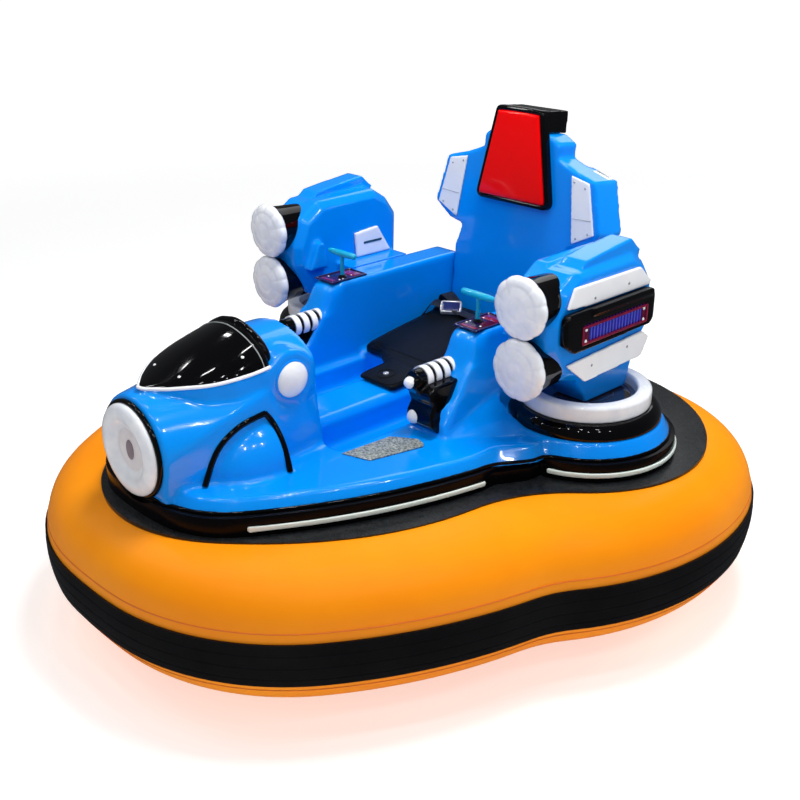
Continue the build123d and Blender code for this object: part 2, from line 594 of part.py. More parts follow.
# ---------------------------------------------------------------- pods
pod = prism_x(POD_OUTLINE, POD_IN_X, POD_OUT_X)
pod = chamfer(pod.edges().filter_by(GeomType.LINE).filter_by(Axis.X, reverse=True), POD_BEVEL)
pod += prism_x(FIN_OUTLINE, *FIN_X)
pod += prism_x(POD_FOOT, *POD_FOOT_X)
pod += box(*POD_ARM, CONSOLE_TOP_Z)
pod += prism_x(POD_RIDGE, POD_IN_X - POD_RIDGE_W, POD_IN_X + POD_BEVEL)
pod = one(pod - console - disc)
parts["pod_left"] = pod
parts["pod_right"] = pod.mirror(Plane.YZ)
housings, lamps = [], []
for x, y, z in POD_LAMPS:
    lamps.append(facing(x, z, [(r, y - out) for r, out in POD_LAMP_ROWS]))
    housings.append(rod((x, y, z), (x, POD_HOUSING_Y, z), POD_HOUSING_R))
housing = housings[0] + housings[1] - pod
parts["pod_housings"] = both(Compound(children=[s for s in housing.solids() if s.volume > HOUSING_MIN]))
parts["pod_lamps"] = both(Compound(children=lamps))
panels = [prism_x(points, POD_OUT_X, POD_OUT_X + PANEL_H) for points in POD_PANELS]
inner_side = [(y, CONSOLE_TOP_Z + up) for y, up in INNER_PANEL]
inner_panel = prism_x(inner_side, POD_IN_X - PANEL_H, POD_IN_X) - pod
slot_z = [CONSOLE_TOP_Z + up for up in INNER_SLOT_UP]
inner_panel -= box(POD_IN_X - PANEL_H, POD_IN_X, *INNER_SLOT_Y, *slot_z)
parts["pod_panels"] = both(Compound(children=[*panels, *inner_panel.solids()]))
vent_x = POD_OUT_X + VENT_H
grille_x = vent_x - GRILLE_DEPTH
vent = prism_x(VENT_OUTLINE, POD_OUT_X, vent_x) - box(grille_x, vent_x, *GRILLE_BOX)
vent += box(vent_x, vent_x + VENT_LIP_OUT, *VENT_LIP)
parts["pod_vents"] = both(vent)
grille_y0, grille_y1, *grille_z = GRILLE_BOX
slat_pitch = (grille_y1 - grille_y0) / SLAT_COUNT
grille = box(grille_x, grille_x + GRILLE_FLOOR, *GRILLE_BOX)
for k in range(SLAT_COUNT):
    y = grille_y0 + (k + 0.5) * slat_pitch
    grille += box(grille_x, vent_x - GRILLE_FLOOR, y - SLAT_W / 2, y + SLAT_W / 2, *grille_z)
parts["pod_grilles"] = both(grille)

# ---------------------------------------------------------------- seat
lean = Location((0, BACK_Y, HULL_TOP_Z)) * Rot(-BACK_LEAN, 0, 0)
hinge = Axis((WING_OUTLINE[0][0], 0, 0), (0, 0, 1))
wing = prism_y(WING_OUTLINE, 0, WING_THICK).rotate(hinge, -WING_SWEEP)
seat_back = lean * (prism_y(symmetric(BACK_OUTLINE), 0, BACK_THICK) + both(wing))
seat_back = seat_back - console - console.mirror(Plane.YZ) - hull
parts["seat_back"] = one(seat_back)
wing_plate = prism_y(WING_PLATE, -WING_PLATE_H, 0).rotate(hinge, -WING_SWEEP)
parts["wing_plates"] = both(lean * wing_plate)
rim = prism_y(symmetric(RIM_OUTLINE), -RIM_H, 0)
rim_face = rim.faces().sort_by(Axis.Y)[0]
parts["back_rim"] = lean * rim
parts["back_panel"] = lean * extrude(offset(rim_face, amount=-RIM_W), amount=RED_H, dir=(0, -1, 0))
head_z = BACK_OUTLINE[0][1]
head_box = box(-HEAD_HALF, HEAD_HALF, 0, BACK_THICK + HEAD_D, head_z, head_z + HEAD_H)
parts["headrest_box"] = lean * head_box

cushion_z = TUNNEL_TOP_Z + SOFT_GAP
cushion = extrude(flat(symmetric(CUSHION), cushion_z), amount=CUSHION_TOP[-1][1], dir=(0, 0, 1))
cushion_side = [(y, TUNNEL_TOP_Z + up) for y, up in CUSHION_TOP]
cushion_side += [(CUSHION_TOP[-1][0], cushion_z), (CUSHION_TOP[0][0], cushion_z)]
cushion &= prism_x(cushion_side, -SEAT_HALF, SEAT_HALF)
parts["seat_cushion"] = one(cushion)

# ---------------------------------------------------------------- chassis and running gear
chassis = plate(closed_wire(FRONT_Y, TUBE_OUTLINE, CENTRE_INSET + TUBE_HALF_W + PAN_GAP), PAN_THICK, PAN_Z)
rail_z = (PAN_Z - RAIL_H, PAN_Z)
for side in (-1, 1):
    x = side * RAIL_X
    chassis += box(x - RAIL_W / 2, x + RAIL_W / 2, RAIL_FRONT_Y, RAIL_REAR_Y, *rail_z)
for y in CROSS_Y:
    chassis += box(-RAIL_X, RAIL_X, y - RAIL_W / 2, y + RAIL_W / 2, *rail_z)
for y in CASTER_Y:
    half = CASTER_PAD / 2
    chassis += box(-half, half, y - half, y + half, CASTER_TOP_Z, PAN_Z)
for x, y in POSTS:
    half = POST_W / 2
    chassis += both(box(x - half, x + half, y - half, y + half, PAN_TOP_Z, DECK_FOOT_Z))
for side in (-1, 1):
    chassis -= both(Pos(RAIL_X, BOLT_MID_Y + side * BOLT_Y / 2, PAN_Z) * Cylinder(BOLT_R, BOLT_CUT))
parts["chassis"] = one(chassis)
parts["battery"] = box(-BATTERY_HALF, BATTERY_HALF, *BATTERY_Y, PAN_TOP_Z, DECK_FOOT_Z - BATTERY_AIR)


def drive_rod(x0, x1, radius):
    return rod((x0, DRIVE_Y, DRIVE_R), (x1, DRIVE_Y, DRIVE_R), radius)


wheel_x = (DRIVE_X - DRIVE_W / 2, DRIVE_X + DRIVE_W / 2)
bracket_x = wheel_x[0] - BRACKET_GAP - BRACKET_T
bracket = box(bracket_x, bracket_x + BRACKET_T, DRIVE_Y - BRACKET_L / 2, DRIVE_Y + BRACKET_L / 2,
              DRIVE_R - BRACKET_L / 2, PAN_Z)
parts["drive_brackets"] = both(bracket + drive_rod(bracket_x, wheel_x[1] + BRACKET_GAP, AXLE_R))
hub = drive_rod(*wheel_x, HUB_R) - drive_rod(*wheel_x, AXLE_R + RUN_GAP)
tyre = drive_rod(*wheel_x, DRIVE_R) - drive_rod(*wheel_x, HUB_R)
tread_edges = [e for e in tyre.edges().filter_by(GeomType.CIRCLE) if e.radius > HUB_R + TYRE_BEVEL]
tyre = chamfer(tread_edges, TYRE_BEVEL)
parts["hub_left"] = one(hub)
parts["hub_right"] = parts["hub_left"].mirror(Plane.YZ)
parts["tyre_left"] = one(tyre)
parts["tyre_right"] = parts["tyre_left"].mirror(Plane.YZ)

leg_x = (CASTER_W / 2 + CASTER_LEG_GAP, CASTER_W / 2 + CASTER_LEG_GAP + CASTER_LEG_T)
plate_z = CASTER_TOP_Z - CASTER_STEM_H
for name, y in zip(("front", "rear"), CASTER_Y):
    wheel_y = y + CASTER_TRAIL
    fork = Pos(0, y, CASTER_TOP_Z - CASTER_STEM_H / 2) * Cylinder(CASTER_STEM_R, CASTER_STEM_H)
    fork += box(-leg_x[1], leg_x[1], y - CASTER_STEM_R, wheel_y + CASTER_LEG_HALF, plate_z - CASTER_PLATE,
                plate_z)
    fork += both(box(*leg_x, wheel_y - CASTER_LEG_HALF, wheel_y + CASTER_LEG_HALF, CASTER_R - CASTER_LEG_HALF,
                     plate_z))
    fork += rod((-leg_x[1], wheel_y, CASTER_R), (leg_x[1], wheel_y, CASTER_R), CASTER_PIN_R)
    parts["caster_fork_" + name] = one(fork)
    roller = rod((-CASTER_W / 2, wheel_y, CASTER_R), (CASTER_W / 2, wheel_y, CASTER_R), CASTER_R)
    roller -= rod((-CASTER_W, wheel_y, CASTER_R), (CASTER_W, wheel_y, CASTER_R), CASTER_PIN_R + RUN_GAP)
    parts["caster_wheel_" + name] = one(roller)

os.makedirs("parts", exist_ok=True)
for name, shape in parts.items():
    export_step(shape, "parts/" + name + ".step")
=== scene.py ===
import bpy
import bmesh
import json
from math import atan2, copysign, cos, pi, radians, sin
from mathutils import Matrix, Vector
from mathutils.bvhtree import BVHTree


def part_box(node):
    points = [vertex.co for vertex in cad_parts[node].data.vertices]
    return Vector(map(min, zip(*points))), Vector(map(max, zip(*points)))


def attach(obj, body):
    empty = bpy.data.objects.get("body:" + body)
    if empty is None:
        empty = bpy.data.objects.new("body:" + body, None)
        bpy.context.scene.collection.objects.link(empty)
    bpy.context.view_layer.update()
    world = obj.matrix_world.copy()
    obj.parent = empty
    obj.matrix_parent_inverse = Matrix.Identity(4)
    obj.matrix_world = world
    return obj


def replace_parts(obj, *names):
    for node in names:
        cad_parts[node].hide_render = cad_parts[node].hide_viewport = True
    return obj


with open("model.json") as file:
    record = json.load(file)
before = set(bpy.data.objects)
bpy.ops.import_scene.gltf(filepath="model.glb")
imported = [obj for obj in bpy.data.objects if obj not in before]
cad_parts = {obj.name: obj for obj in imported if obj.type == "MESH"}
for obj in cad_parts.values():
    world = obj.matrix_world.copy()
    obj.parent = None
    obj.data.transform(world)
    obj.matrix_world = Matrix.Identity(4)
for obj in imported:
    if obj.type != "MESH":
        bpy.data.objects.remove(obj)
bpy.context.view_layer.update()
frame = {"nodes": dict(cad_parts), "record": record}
nodes = frame["nodes"]
scene = bpy.context.scene


# ---------------------------------------------------------------- materials
def fill(shader_node, settings):
    """Sets a shader node's inputs by name."""
    for key, value in settings.items():
        shader_node.inputs[key].default_value = value
    return shader_node


def add_node(tree, kind, settings):
    """A new shader node with its inputs set by name."""
    return fill(tree.nodes.new("ShaderNode" + kind), settings)


def wire(tree, *links):
    """Links shader nodes, each link given as node, output, node, input."""
    for start, output, end, entry in links:
        tree.links.new(start.outputs[output], end.inputs[entry])


def material(name, color, rough, metallic=0.0, other=None, patch=3.0, mix=0.5, bump=0.05, bump_scale=60.0,
             coat=0.0, coat_rough=0.03, rough_var=0.06, spec=0.5):
    """Principled material with patches of a second colour, uneven roughness and a fine bump."""
    m = bpy.data.materials.new(name)
    m.use_nodes = True
    tree = m.node_tree
    shader = fill(tree.nodes["Principled BSDF"], {"Metallic": metallic, "Coat Weight": coat,
                                                  "Coat Roughness": coat_rough, "Specular IOR Level": spec})
    coords = add_node(tree, "TexCoord", {})
    patches = add_node(tree, "TexNoise", {"Scale": patch, "Detail": 4.0})
    ramp = add_node(tree, "MapRange", {"From Min": 0.35, "From Max": 0.65, "To Max": mix})
    blend = tree.nodes.new("ShaderNodeMix")
    blend.data_type = "RGBA"
    fill(blend, {"A": (*color, 1), "B": (*(other or [c * 0.8 for c in color]), 1)})
    grain = add_node(tree, "TexNoise", {"Scale": bump_scale, "Detail": 3.0})
    smoothest, roughest = max(0.02, rough - rough_var), rough + rough_var
    spread = add_node(tree, "MapRange", {"To Min": smoothest, "To Max": roughest})
    relief = add_node(tree, "Bump", {"Strength": bump, "Distance": 0.002})
    wire(tree, (coords, "Object", patches, "Vector"), (patches, "Fac", ramp, "Value"),
         (ramp, "Result", blend, "Factor"), (blend, "Result", shader, "Base Color"),
         (coords, "Object", grain, "Vector"), (grain, "Fac", spread, "Value"),
         (spread, "Result", shader, "Roughness"), (grain, "Fac", relief, "Height"),
         (relief, "Normal", shader, "Normal"))
    return m


def grooved(m, pitch, depth, axis="Z"):
    """Adds fine parallel grooves, a pitch apart in metres, to a material's bump."""
    tree = m.node_tree
    coords = next(n for n in tree.nodes if n.type == "TEX_COORD")
    old = next(n for n in tree.nodes if n.type == "BUMP")
    wave = add_node(tree, "TexWave", {"Scale": 0.314 / pitch, "Distortion": 0.25, "Detail Scale": 2.0})
    wave.bands_direction = axis
    wave.wave_profile = "SAW"
    edge = add_node(tree, "MapRange", {"From Min": 0.82, "To Min": 1.0, "To Max": 0.0})
    relief = add_node(tree, "Bump", {"Strength": 0.8, "Distance": depth})
    wire(tree, (coords, "Object", wave, "Vector"), (wave, "Fac", edge, "Value"),
         (edge, "Result", relief, "Height"), (old, "Normal", relief, "Normal"),
         (relief, "Normal", tree.nodes["Principled BSDF"], "Normal"))


# The first twenty looks are the record's slots; the others belong to pieces and nodes of those slots.
LOOKS = {
    "tube_orange": dict(color=(0.98, 0.32, 0.004), rough=0.42, other=(0.92, 0.24, 0.003), patch=2.2,
                        mix=0.6, bump=0.12, bump_scale=35.0, coat=0.05, coat_rough=0.3, spec=0.18),
    "rubber_black": dict(color=(0.006, 0.007, 0.008), rough=0.30, other=(0.024, 0.027, 0.031), patch=90.0,
                         bump=0.3, bump_scale=260.0, coat=0.1, coat_rough=0.28, rough_var=0.12,
                         spec=0.35),
    "body_blue": dict(color=(0.0, 0.245, 0.86), rough=0.16, other=(0.0, 0.31, 0.96), patch=2.0, mix=0.5,
                      bump=0.10, bump_scale=13.0, coat=0.5, coat_rough=0.02, rough_var=0.03, spec=0.4),
    "gloss_black": dict(color=(0.001, 0.001, 0.0015), rough=0.07, other=(0.003, 0.003, 0.0035), bump=0.06,
                        bump_scale=18.0, coat=0.35, rough_var=0.03, spec=0.12),
    "light_strip": dict(color=(0.78, 0.90, 0.84), rough=0.3, other=(0.90, 0.96, 0.93), patch=14.0,
                        bump=0.1, bump_scale=120.0),
    "lamp_white": dict(color=(0.86, 0.88, 0.92), rough=0.25, other=(0.70, 0.74, 0.83), patch=26.0,
                       mix=0.7, bump=0.25, bump_scale=55.0, coat=0.5),
    "gloss_white": dict(color=(0.90, 0.91, 0.94), rough=0.2, other=(0.78, 0.81, 0.88), patch=9.0,
                        bump=0.08, bump_scale=60.0, coat=0.5),
    "tread_plate": dict(color=(0.62, 0.65, 0.60), rough=0.32, metallic=0.5, other=(0.12, 0.16, 0.16),
                        patch=170.0, mix=1.0, bump=1.0, bump_scale=300.0, rough_var=0.2),
    "control_plate": dict(color=(0.004, 0.003, 0.020), rough=0.22, other=(0.030, 0.002, 0.060),
                          patch=26.0, mix=0.9, bump=0.1, coat=0.3, spec=0.2),
    "joystick_cyan": dict(color=(0.0, 0.40, 0.66), rough=0.25, other=(0.0, 0.30, 0.52), patch=30.0,
                          bump=0.1, bump_scale=90.0, coat=0.5),
    "smoked_glass": dict(color=(0.010, 0.010, 0.018), rough=0.04, other=(0.05, 0.028, 0.015), patch=9.0,
                         bump=0.03, coat=1.0, rough_var=0.02),
    "grille_violet": dict(color=(0.07, 0.06, 0.62), rough=0.3, other=(0.03, 0.10, 0.42), patch=30.0,
                          bump=0.1, coat=0.4),
    "panel_red": dict(color=(0.88, 0.001, 0.002), rough=0.18, other=(0.78, 0.0, 0.001), patch=4.0,
                      bump=0.06, bump_scale=24.0, coat=0.3, spec=0.15),
    "seat_leather": dict(color=(0.003, 0.004, 0.005), rough=0.42, other=(0.007, 0.008, 0.011), patch=14.0,
                         bump=0.5, bump_scale=420.0, rough_var=0.1, spec=0.14),
    "chassis_steel": dict(color=(0.03, 0.03, 0.033), rough=0.5, other=(0.055, 0.05, 0.045), patch=7.0,
                          bump=0.3, bump_scale=260.0),
    "battery_case": dict(color=(0.03, 0.03, 0.035), rough=0.55, other=(0.05, 0.05, 0.055), patch=11.0,
                         bump=0.35, bump_scale=320.0),
    "bracket_steel": dict(color=(0.58, 0.57, 0.54), rough=0.35, metallic=1.0, other=(0.42, 0.42, 0.42),
                          patch=16.0, bump=0.15, bump_scale=160.0, rough_var=0.12),
    "motor_alloy": dict(color=(0.5, 0.51, 0.52), rough=0.4, metallic=1.0, other=(0.4, 0.4, 0.41),
                        patch=12.0, bump=0.4, bump_scale=240.0, rough_var=0.12),
    "tyre_rubber": dict(color=(0.02, 0.02, 0.021), rough=0.7, other=(0.04, 0.038, 0.035), patch=18.0,
                        bump=0.5, bump_scale=320.0),
    "caster_tread": dict(color=(0.08, 0.08, 0.082), rough=0.6, other=(0.12, 0.12, 0.12), patch=18.0,
                         bump=0.4, bump_scale=300.0),
    "skirt_black": dict(color=(0.002, 0.002, 0.003), rough=0.22, other=(0.004, 0.004, 0.005), bump=0.06,
                        bump_scale=18.0, spec=0.10),
    "band_rubber": dict(color=(0.004, 0.004, 0.005), rough=0.42, other=(0.009, 0.009, 0.010), patch=6.0,
                        bump=0.2, bump_scale=200.0, rough_var=0.1, spec=0.15),
    "seam_orange": dict(color=(0.80, 0.17, 0.006), rough=0.45, bump=0.2),
    "grey_line": dict(color=(0.30, 0.33, 0.34), rough=0.3, bump=0.1),
    "screw_grey": dict(color=(0.42, 0.45, 0.50), rough=0.3, metallic=0.5, other=(0.3, 0.32, 0.36),
                       patch=60.0),
    # slot_painted_shade: painted shade for the inside of slots and grooves.
    "slot_painted_shade": dict(color=(0.02, 0.08, 0.13), rough=0.35, other=(0.01, 0.05, 0.09), patch=30.0),
    # slit_painted_shade: painted shade for the slit in the nose lamp.
    "slit_painted_shade": dict(color=(0.22, 0.17, 0.20), rough=0.35, other=(0.32, 0.26, 0.28), patch=40.0),
    # dish_painted_shade: the lamp's white greyed, as painted shade for the hollow of the nose lamp's dish.
    "dish_painted_shade": dict(color=(0.70, 0.66, 0.69), rough=0.3, other=(0.80, 0.78, 0.80), patch=30.0,
                      bump=0.15),
    "crimson": dict(color=(0.22, 0.0, 0.03), rough=0.25, other=(0.06, 0.0, 0.04), patch=20.0, bump=0.08,
                    coat=0.5),
    "dark_crimson": dict(color=(0.09, 0.0, 0.02), rough=0.25, other=(0.03, 0.0, 0.03), patch=40.0,
                         bump=0.08),
    "webbing": dict(color=(0.010, 0.010, 0.012), rough=0.55, other=(0.024, 0.024, 0.027), patch=60.0,
                    bump=0.9, bump_scale=700.0),
    "button_blue": dict(color=(0.008, 0.014, 0.08), rough=0.2, other=(0.015, 0.03, 0.14), patch=30.0,
                        coat=0.5),
    "silver": dict(color=(0.72, 0.74, 0.77), rough=0.22, metallic=0.6, other=(0.55, 0.58, 0.62),
                   patch=25.0, coat=0.4),
}
looks = {name: material(name, **settings) for name, settings in LOOKS.items()}
grooved(looks["band_rubber"], 0.034, 0.003)
grooved(looks["webbing"], 0.004, 0.0006, "Y")

# The record's slot of each look that is no slot itself; the painted shade of the slit in the nose lamp has
# none.
SLOT_OF_LOOK = {"seam_orange": "tube_orange", "grey_line": "gloss_black", "screw_grey": "gloss_white",
                "slot_painted_shade": "gloss_black", "slit_painted_shade": None, "dish_painted_shade": "lamp_white",
                "crimson": "gloss_black", "dark_crimson": "gloss_black", "webbing": "seat_leather",
                "button_blue": "control_plate", "silver": "gloss_white"}
slot_of_node = {s["node"]: s["material_slot"] for s in frame["record"]["subparts"]}
own_look = {"bumper_band": "band_rubber", "hull_skirt": "skirt_black"}
for node_name, obj in nodes.items():
    look = looks[own_look.get(node_name, slot_of_node[node_name])]
    if not obj.material_slots:
        obj.data.materials.append(look)
    for entry in obj.material_slots:
        entry.material = look


# ---------------------------------------------------------------- mesh helpers
def linked(name, data):
    """A new object in the scene."""
    obj = bpy.data.objects.new(name, data)
    scene.collection.objects.link(obj)
    return obj


def place(name, mesh, look, slot=None, body="car", angle=None):
    """Makes a mesh a piece of a body, with a look; the record's slot that goes with it is looked up but not
    kept.
    """
    obj = linked(name, mesh)
    mesh.materials.clear()
    mesh.materials.append(looks[look])
    for poly in mesh.polygons:
        poly.use_smooth = True
        poly.material_index = 0
    if angle:
        mesh.set_sharp_from_angle(angle=radians(angle))
    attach(obj, body)
    slot = slot or SLOT_OF_LOOK.get(look, look)
    return obj


def from_bm(name, bm):
    mesh = bpy.data.meshes.new(name)
    bm.to_mesh(mesh)
    bm.free()
    return mesh


def solid_of(names, grow=0.0):
    """One mesh of several CAD nodes, each grown a little so that touching solids overlap."""
    whole = bmesh.new()
    for n in names:
        bm = bmesh.new()
        bm.from_mesh(nodes[n].data)
        bmesh.ops.remove_doubles(bm, verts=bm.verts, dist=2e-5)
        bmesh.ops.recalc_face_normals(bm, faces=bm.faces)
        bm.normal_update()
        for v in bm.verts:
            v.co += v.normal * grow
        part = from_bm("part", bm)
        whole.from_mesh(part)
        bpy.data.meshes.remove(part)
    return from_bm("solid", whole)


def evaluated(obj):
    """A new mesh of what an object's modifiers or curve make."""
    return bpy.data.meshes.new_from_object(obj.evaluated_get(bpy.context.evaluated_depsgraph_get()))


def worked(mesh, *steps):
    """The mesh after a run of modifiers, each (type, settings)."""
    obj = linked("work", mesh)
    for kind, settings in steps:
        mod = obj.modifiers.new(kind, kind)
        for key, value in settings.items():
            setattr(mod, key, value)
    bpy.context.view_layer.update()
    done = evaluated(obj)
    bpy.data.objects.remove(obj)
    bpy.data.meshes.remove(mesh)
    return done


def moulded(mesh, voxel, rounds, grow=0.0):
    """Laminate look: one skin with every edge and corner rounded."""
    steps = [("REMESH", {"mode": "VOXEL", "voxel_size": voxel, "adaptivity": 0.0})]
    steps.append(("SMOOTH", {"factor": 0.5, "iterations": rounds}))
    if grow:
        steps.append(("DISPLACE", {"strength": -grow, "mid_level": 0.0}))
    return worked(mesh, *steps)


def softened(mesh, where, rounds):
    """Smooths the part of a mesh that a test picks, so that its edges get a larger radius."""
    bm = bmesh.new()
    bm.from_mesh(mesh)
    picked = [v for v in bm.verts if where(v.co)]
    all_ways = {"use_axis_x": True, "use_axis_y": True, "use_axis_z": True}
    for _ in range(rounds):
        bmesh.ops.smooth_vert(bm, verts=picked, factor=0.5, **all_ways)
    bm.to_mesh(mesh)
    bm.free()
    return mesh


def lathe(name, rows, origin, axis, look, segments=96, lobes=None, lift=None, slot=None, body="car",
          angle=40):
    """Profile of (radius, height) rows turned round an axis; lobes scales the radius, lift adds height."""
    bm = bmesh.new()
    up = Vector(axis).normalized()
    side = Vector((0, 0, 1)) if abs(up.z) < 0.9 else Vector((1, 0, 0))
    u = side.cross(up).normalized()
    v = up.cross(u)
    rings = []
    for r, h in rows:
        if r < 1e-6:
            rings.append([bm.verts.new(Vector(origin) + up * h)])
            continue
        ring = []
        for k in range(segments):
            a = 2 * pi * k / segments
            s = lobes(a, r, h) if lobes else 1.0
            rise = h + (lift(a, r, h) if lift else 0.0)
            ring.append(bm.verts.new(Vector(origin) + up * rise + (u * cos(a) + v * sin(a)) * r * s))
        rings.append(ring)
    for low, high in zip(rings, rings[1:]):
        for k in range(segments):
            j = (k + 1) % segments
            if len(low) == 1 and len(high) == 1:
                break
            if len(low) == 1:
                bm.faces.new((low[0], high[k], high[j]))
            elif len(high) == 1:
                bm.faces.new((low[k], high[0], low[j]))
            else:
                bm.faces.new((low[k], high[k], high[j], low[j]))
    bmesh.ops.recalc_face_normals(bm, faces=bm.faces)
    return place(name, from_bm(name, bm), look, slot, body, angle)


def bar(name, points, radius, look, closed=False, slot=None):
    """Round bar along a smooth line."""
    curve = bpy.data.curves.new(name, "CURVE")
    curve.dimensions = "3D"
    curve.bevel_depth = radius
    curve.bevel_resolution = 4
    curve.resolution_u = 6
    curve.use_fill_caps = True
    spline = curve.splines.new("NURBS")
    spline.points.add(len(points) - 1)
    for point, co in zip(spline.points, points):
        point.co = (*co, 1.0)
    spline.order_u = 3
    spline.use_endpoint_u = not closed
    spline.use_cyclic_u = closed
    obj = linked("work", curve)
    bpy.context.view_layer.update()
    mesh = evaluated(obj)
    bpy.data.objects.remove(obj)
    mesh.name = name
    return place(name, mesh, look, slot)


def smooth_by_angle(obj):
    """Smooth shading, but for edges sharper than 35 degrees."""
    for poly in obj.data.polygons:
        poly.use_smooth = True
    obj.data.set_sharp_from_angle(angle=radians(35))


def bevelled(node_name, width):
    """Rounds the sharp edges of a CAD node that keeps its shape."""
    obj = nodes[node_name]
    weld = obj.modifiers.new("weld", "WELD")
    weld.merge_threshold = 2e-5
    mod = obj.modifiers.new("bevel", "BEVEL")
    mod.width = width
    mod.segments = 3
    mod.limit_method = "ANGLE"
    mod.angle_limit = radians(28)
    mod.harden_normals = False
    smooth_by_angle(obj)


def slab(name, outline, thickness, look, bevel, slot=None):
    """Flat plate from a 3-D outline, thickened along a vector, with rounded edges."""
    bm = bmesh.new()
    low = [bm.verts.new(Vector(p)) for p in outline]
    face = bm.faces.new(low)
    result = bmesh.ops.extrude_face_region(bm, geom=[face])
    top = [g for g in result["geom"] if isinstance(g, bmesh.types.BMVert)]
    bmesh.ops.translate(bm, verts=top, vec=Vector(thickness))
    bmesh.ops.recalc_face_normals(bm, faces=bm.faces)
    edges = {"width": bevel, "segments": 3, "limit_method": "ANGLE", "angle_limit": radians(25)}
    return place(name, worked(from_bm(name, bm), ("BEVEL", edges)), look, slot, angle=40)


def dot(name, centre, normal, radius, look, slot=None):
    """Small domed screw head or light."""
    rows = [(0.0, radius * 0.6), (radius * 0.6, radius * 0.45), (radius, 0.0), (radius, -0.002),
            (0.0, -0.002)]
    return lathe(name, rows, centre, normal, look, segments=16, slot=slot)


SIDES = (("left", 1), ("right", -1))

# ---------------------------------------------------------------- moulded shells
GROW = 0.001
STEP_TOP = 0.4985
POD_SHOULDER = 0.975


def shell(name, stands_for, voxel, rounds, look):
    """The moulded skin of some CAD nodes, in their stead."""
    made = place(name, moulded(solid_of(stands_for), voxel, rounds), look)
    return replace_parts(made, *stands_for)


def at_console_front(p):
    """Whether a point is near a console's front end, whose edges have a larger radius."""
    return 0.232 < abs(p.x) < 0.36 and -0.06 < p.y < 0.10 and p.z > 0.70


hull_nodes = ("hull", "nose_cowl", "console_left", "console_right")
hull_skin = softened(moulded(solid_of(hull_nodes, GROW), 0.0072, 6, GROW), at_console_front, 45)
for v in hull_skin.vertices:
    if v.co.z < STEP_TOP and abs(v.co.x) > 0.500 and -0.12 < v.co.y < 0.10:
        v.co.z = STEP_TOP
        v.co.x = copysign(min(abs(v.co.x), 0.514 + max(0.0, v.co.y + 0.050) * 0.534), v.co.x)
body_shell = place("body_shell", hull_skin, "body_blue")
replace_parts(body_shell, *hull_nodes)
shell("seat_shell", ["seat_back"], 0.006, 7, "body_blue")
for side, _ in SIDES:
    pod_skin = moulded(solid_of(["pod_" + side]), 0.0050, 6)
    for v in pod_skin.vertices:
        if v.co.z > POD_SHOULDER and abs(v.co.x) > 0.478:
            slope = min(1.0, max(0.0, (v.co.y - 0.150) / 0.250))
            v.co.z = POD_SHOULDER + (v.co.z - POD_SHOULDER) * (0.25 + 0.75 * slope)
    pod = place("pod_shell_" + side, pod_skin, "body_blue")
    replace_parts(pod, "pod_" + side)


def with_prisms(mesh, prisms):
    """The mesh with prisms added, each a (y, z) outline with its x range at the foot and the top."""
    bm = bmesh.new()
    bm.from_mesh(mesh)
    for outline, foot, head in prisms:
        lowest, highest = min(z for _, z in outline), max(z for _, z in outline)
        rings = []
        for end in (0, 1):
            ring = []
            for y, z in outline:
                t = (z - lowest) / (highest - lowest)
                ring.append(bm.verts.new((foot[end] * (1 - t) + head[end] * t, y, z)))
            rings.append(ring)
        near, far = rings
        faces = [bm.faces.new(near), bm.faces.new(far)]
        for k in range(len(outline)):
            j = (k + 1) % len(outline)
            faces.append(bm.faces.new((near[k], near[j], far[j], far[k])))
        bmesh.ops.recalc_face_normals(bm, faces=faces)
    bm.to_mesh(mesh)
    bm.free()
    return mesh


# Side view of the block under an exhaust: y, z.
BLOCK = ((0.030, 0.672), (-0.085, 0.672), (-0.104, 0.655), (-0.102, 0.640), (-0.094, 0.620), (-0.108, 0.598),
         (-0.110, 0.570), (-0.086, 0.546), (-0.060, 0.541), (0.030, 0.541))
blocks = [(BLOCK, (sign * 0.250, sign * 0.350), (sign * 0.250, sign * 0.330)) for _, sign in SIDES]
exhaust_solid = with_prisms(solid_of(["exhausts"]), blocks)
exhaust = place("exhaust_shell", moulded(exhaust_solid, 0.0036, 6), "gloss_black")
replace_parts(exhaust, "exhausts")
LAMP_AXES = ((0.507, 0.905), (0.510, 0.742))
LAMP_Y = 0.040
HORN = [(0.0, -0.142), (0.052, -0.142), (0.0600, -0.138), (0.0645, -0.126), (0.0665, -0.090),
        (0.0685, -0.050), (0.0710, -0.022), (0.0735, -0.008), (0.0740, -0.003), (0.0700, 0.0), (0.0, 0.0)]
for side, sign in SIDES:
    for k, (x, z) in enumerate(LAMP_AXES):
        lathe(f"horn_{side}_{k}", HORN, (sign * x, LAMP_Y, z), (0, -1, 0), "gloss_black", angle=60)
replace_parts(bpy.data.objects["horn_left_0"], "pod_housings")
shell("vent_shell", ["pod_vents"], 0.0037, 11, "gloss_black")
shell("panel_shell", ["pod_panels"], 0.0034, 6, "gloss_white")
shell("wing_plate_shell", ["wing_plates"], 0.0022, 12, "gloss_white")
shell("headrest_shell", ["headrest_box"], 0.004, 9, "gloss_black")
tube_skin = shell("tube_skin", ["bumper_tube"], 0.014, 6, "tube_orange")

# Canopy sections: y, half width, foot z, top z, fullness of the arch.
HOOD = ((-0.746, 0.004, 0.764, 0.7655, 2.0), (-0.730, 0.028, 0.765, 0.7700, 1.9),
        (-0.703, 0.058, 0.768, 0.7785, 1.8), (-0.672, 0.088, 0.770, 0.7900, 1.7),
        (-0.641, 0.112, 0.772, 0.8030, 1.65), (-0.606, 0.129, 0.7745, 0.8190, 1.65),
        (-0.568, 0.141, 0.777, 0.8340, 1.65), (-0.520, 0.146, 0.780, 0.8500, 1.7),
        (-0.480, 0.148, 0.7825, 0.8610, 1.75), (-0.456, 0.148, 0.784, 0.8655, 1.8))


def power(value, exponent):
    """A power that keeps the sign."""
    return copysign(abs(value) ** exponent, value)


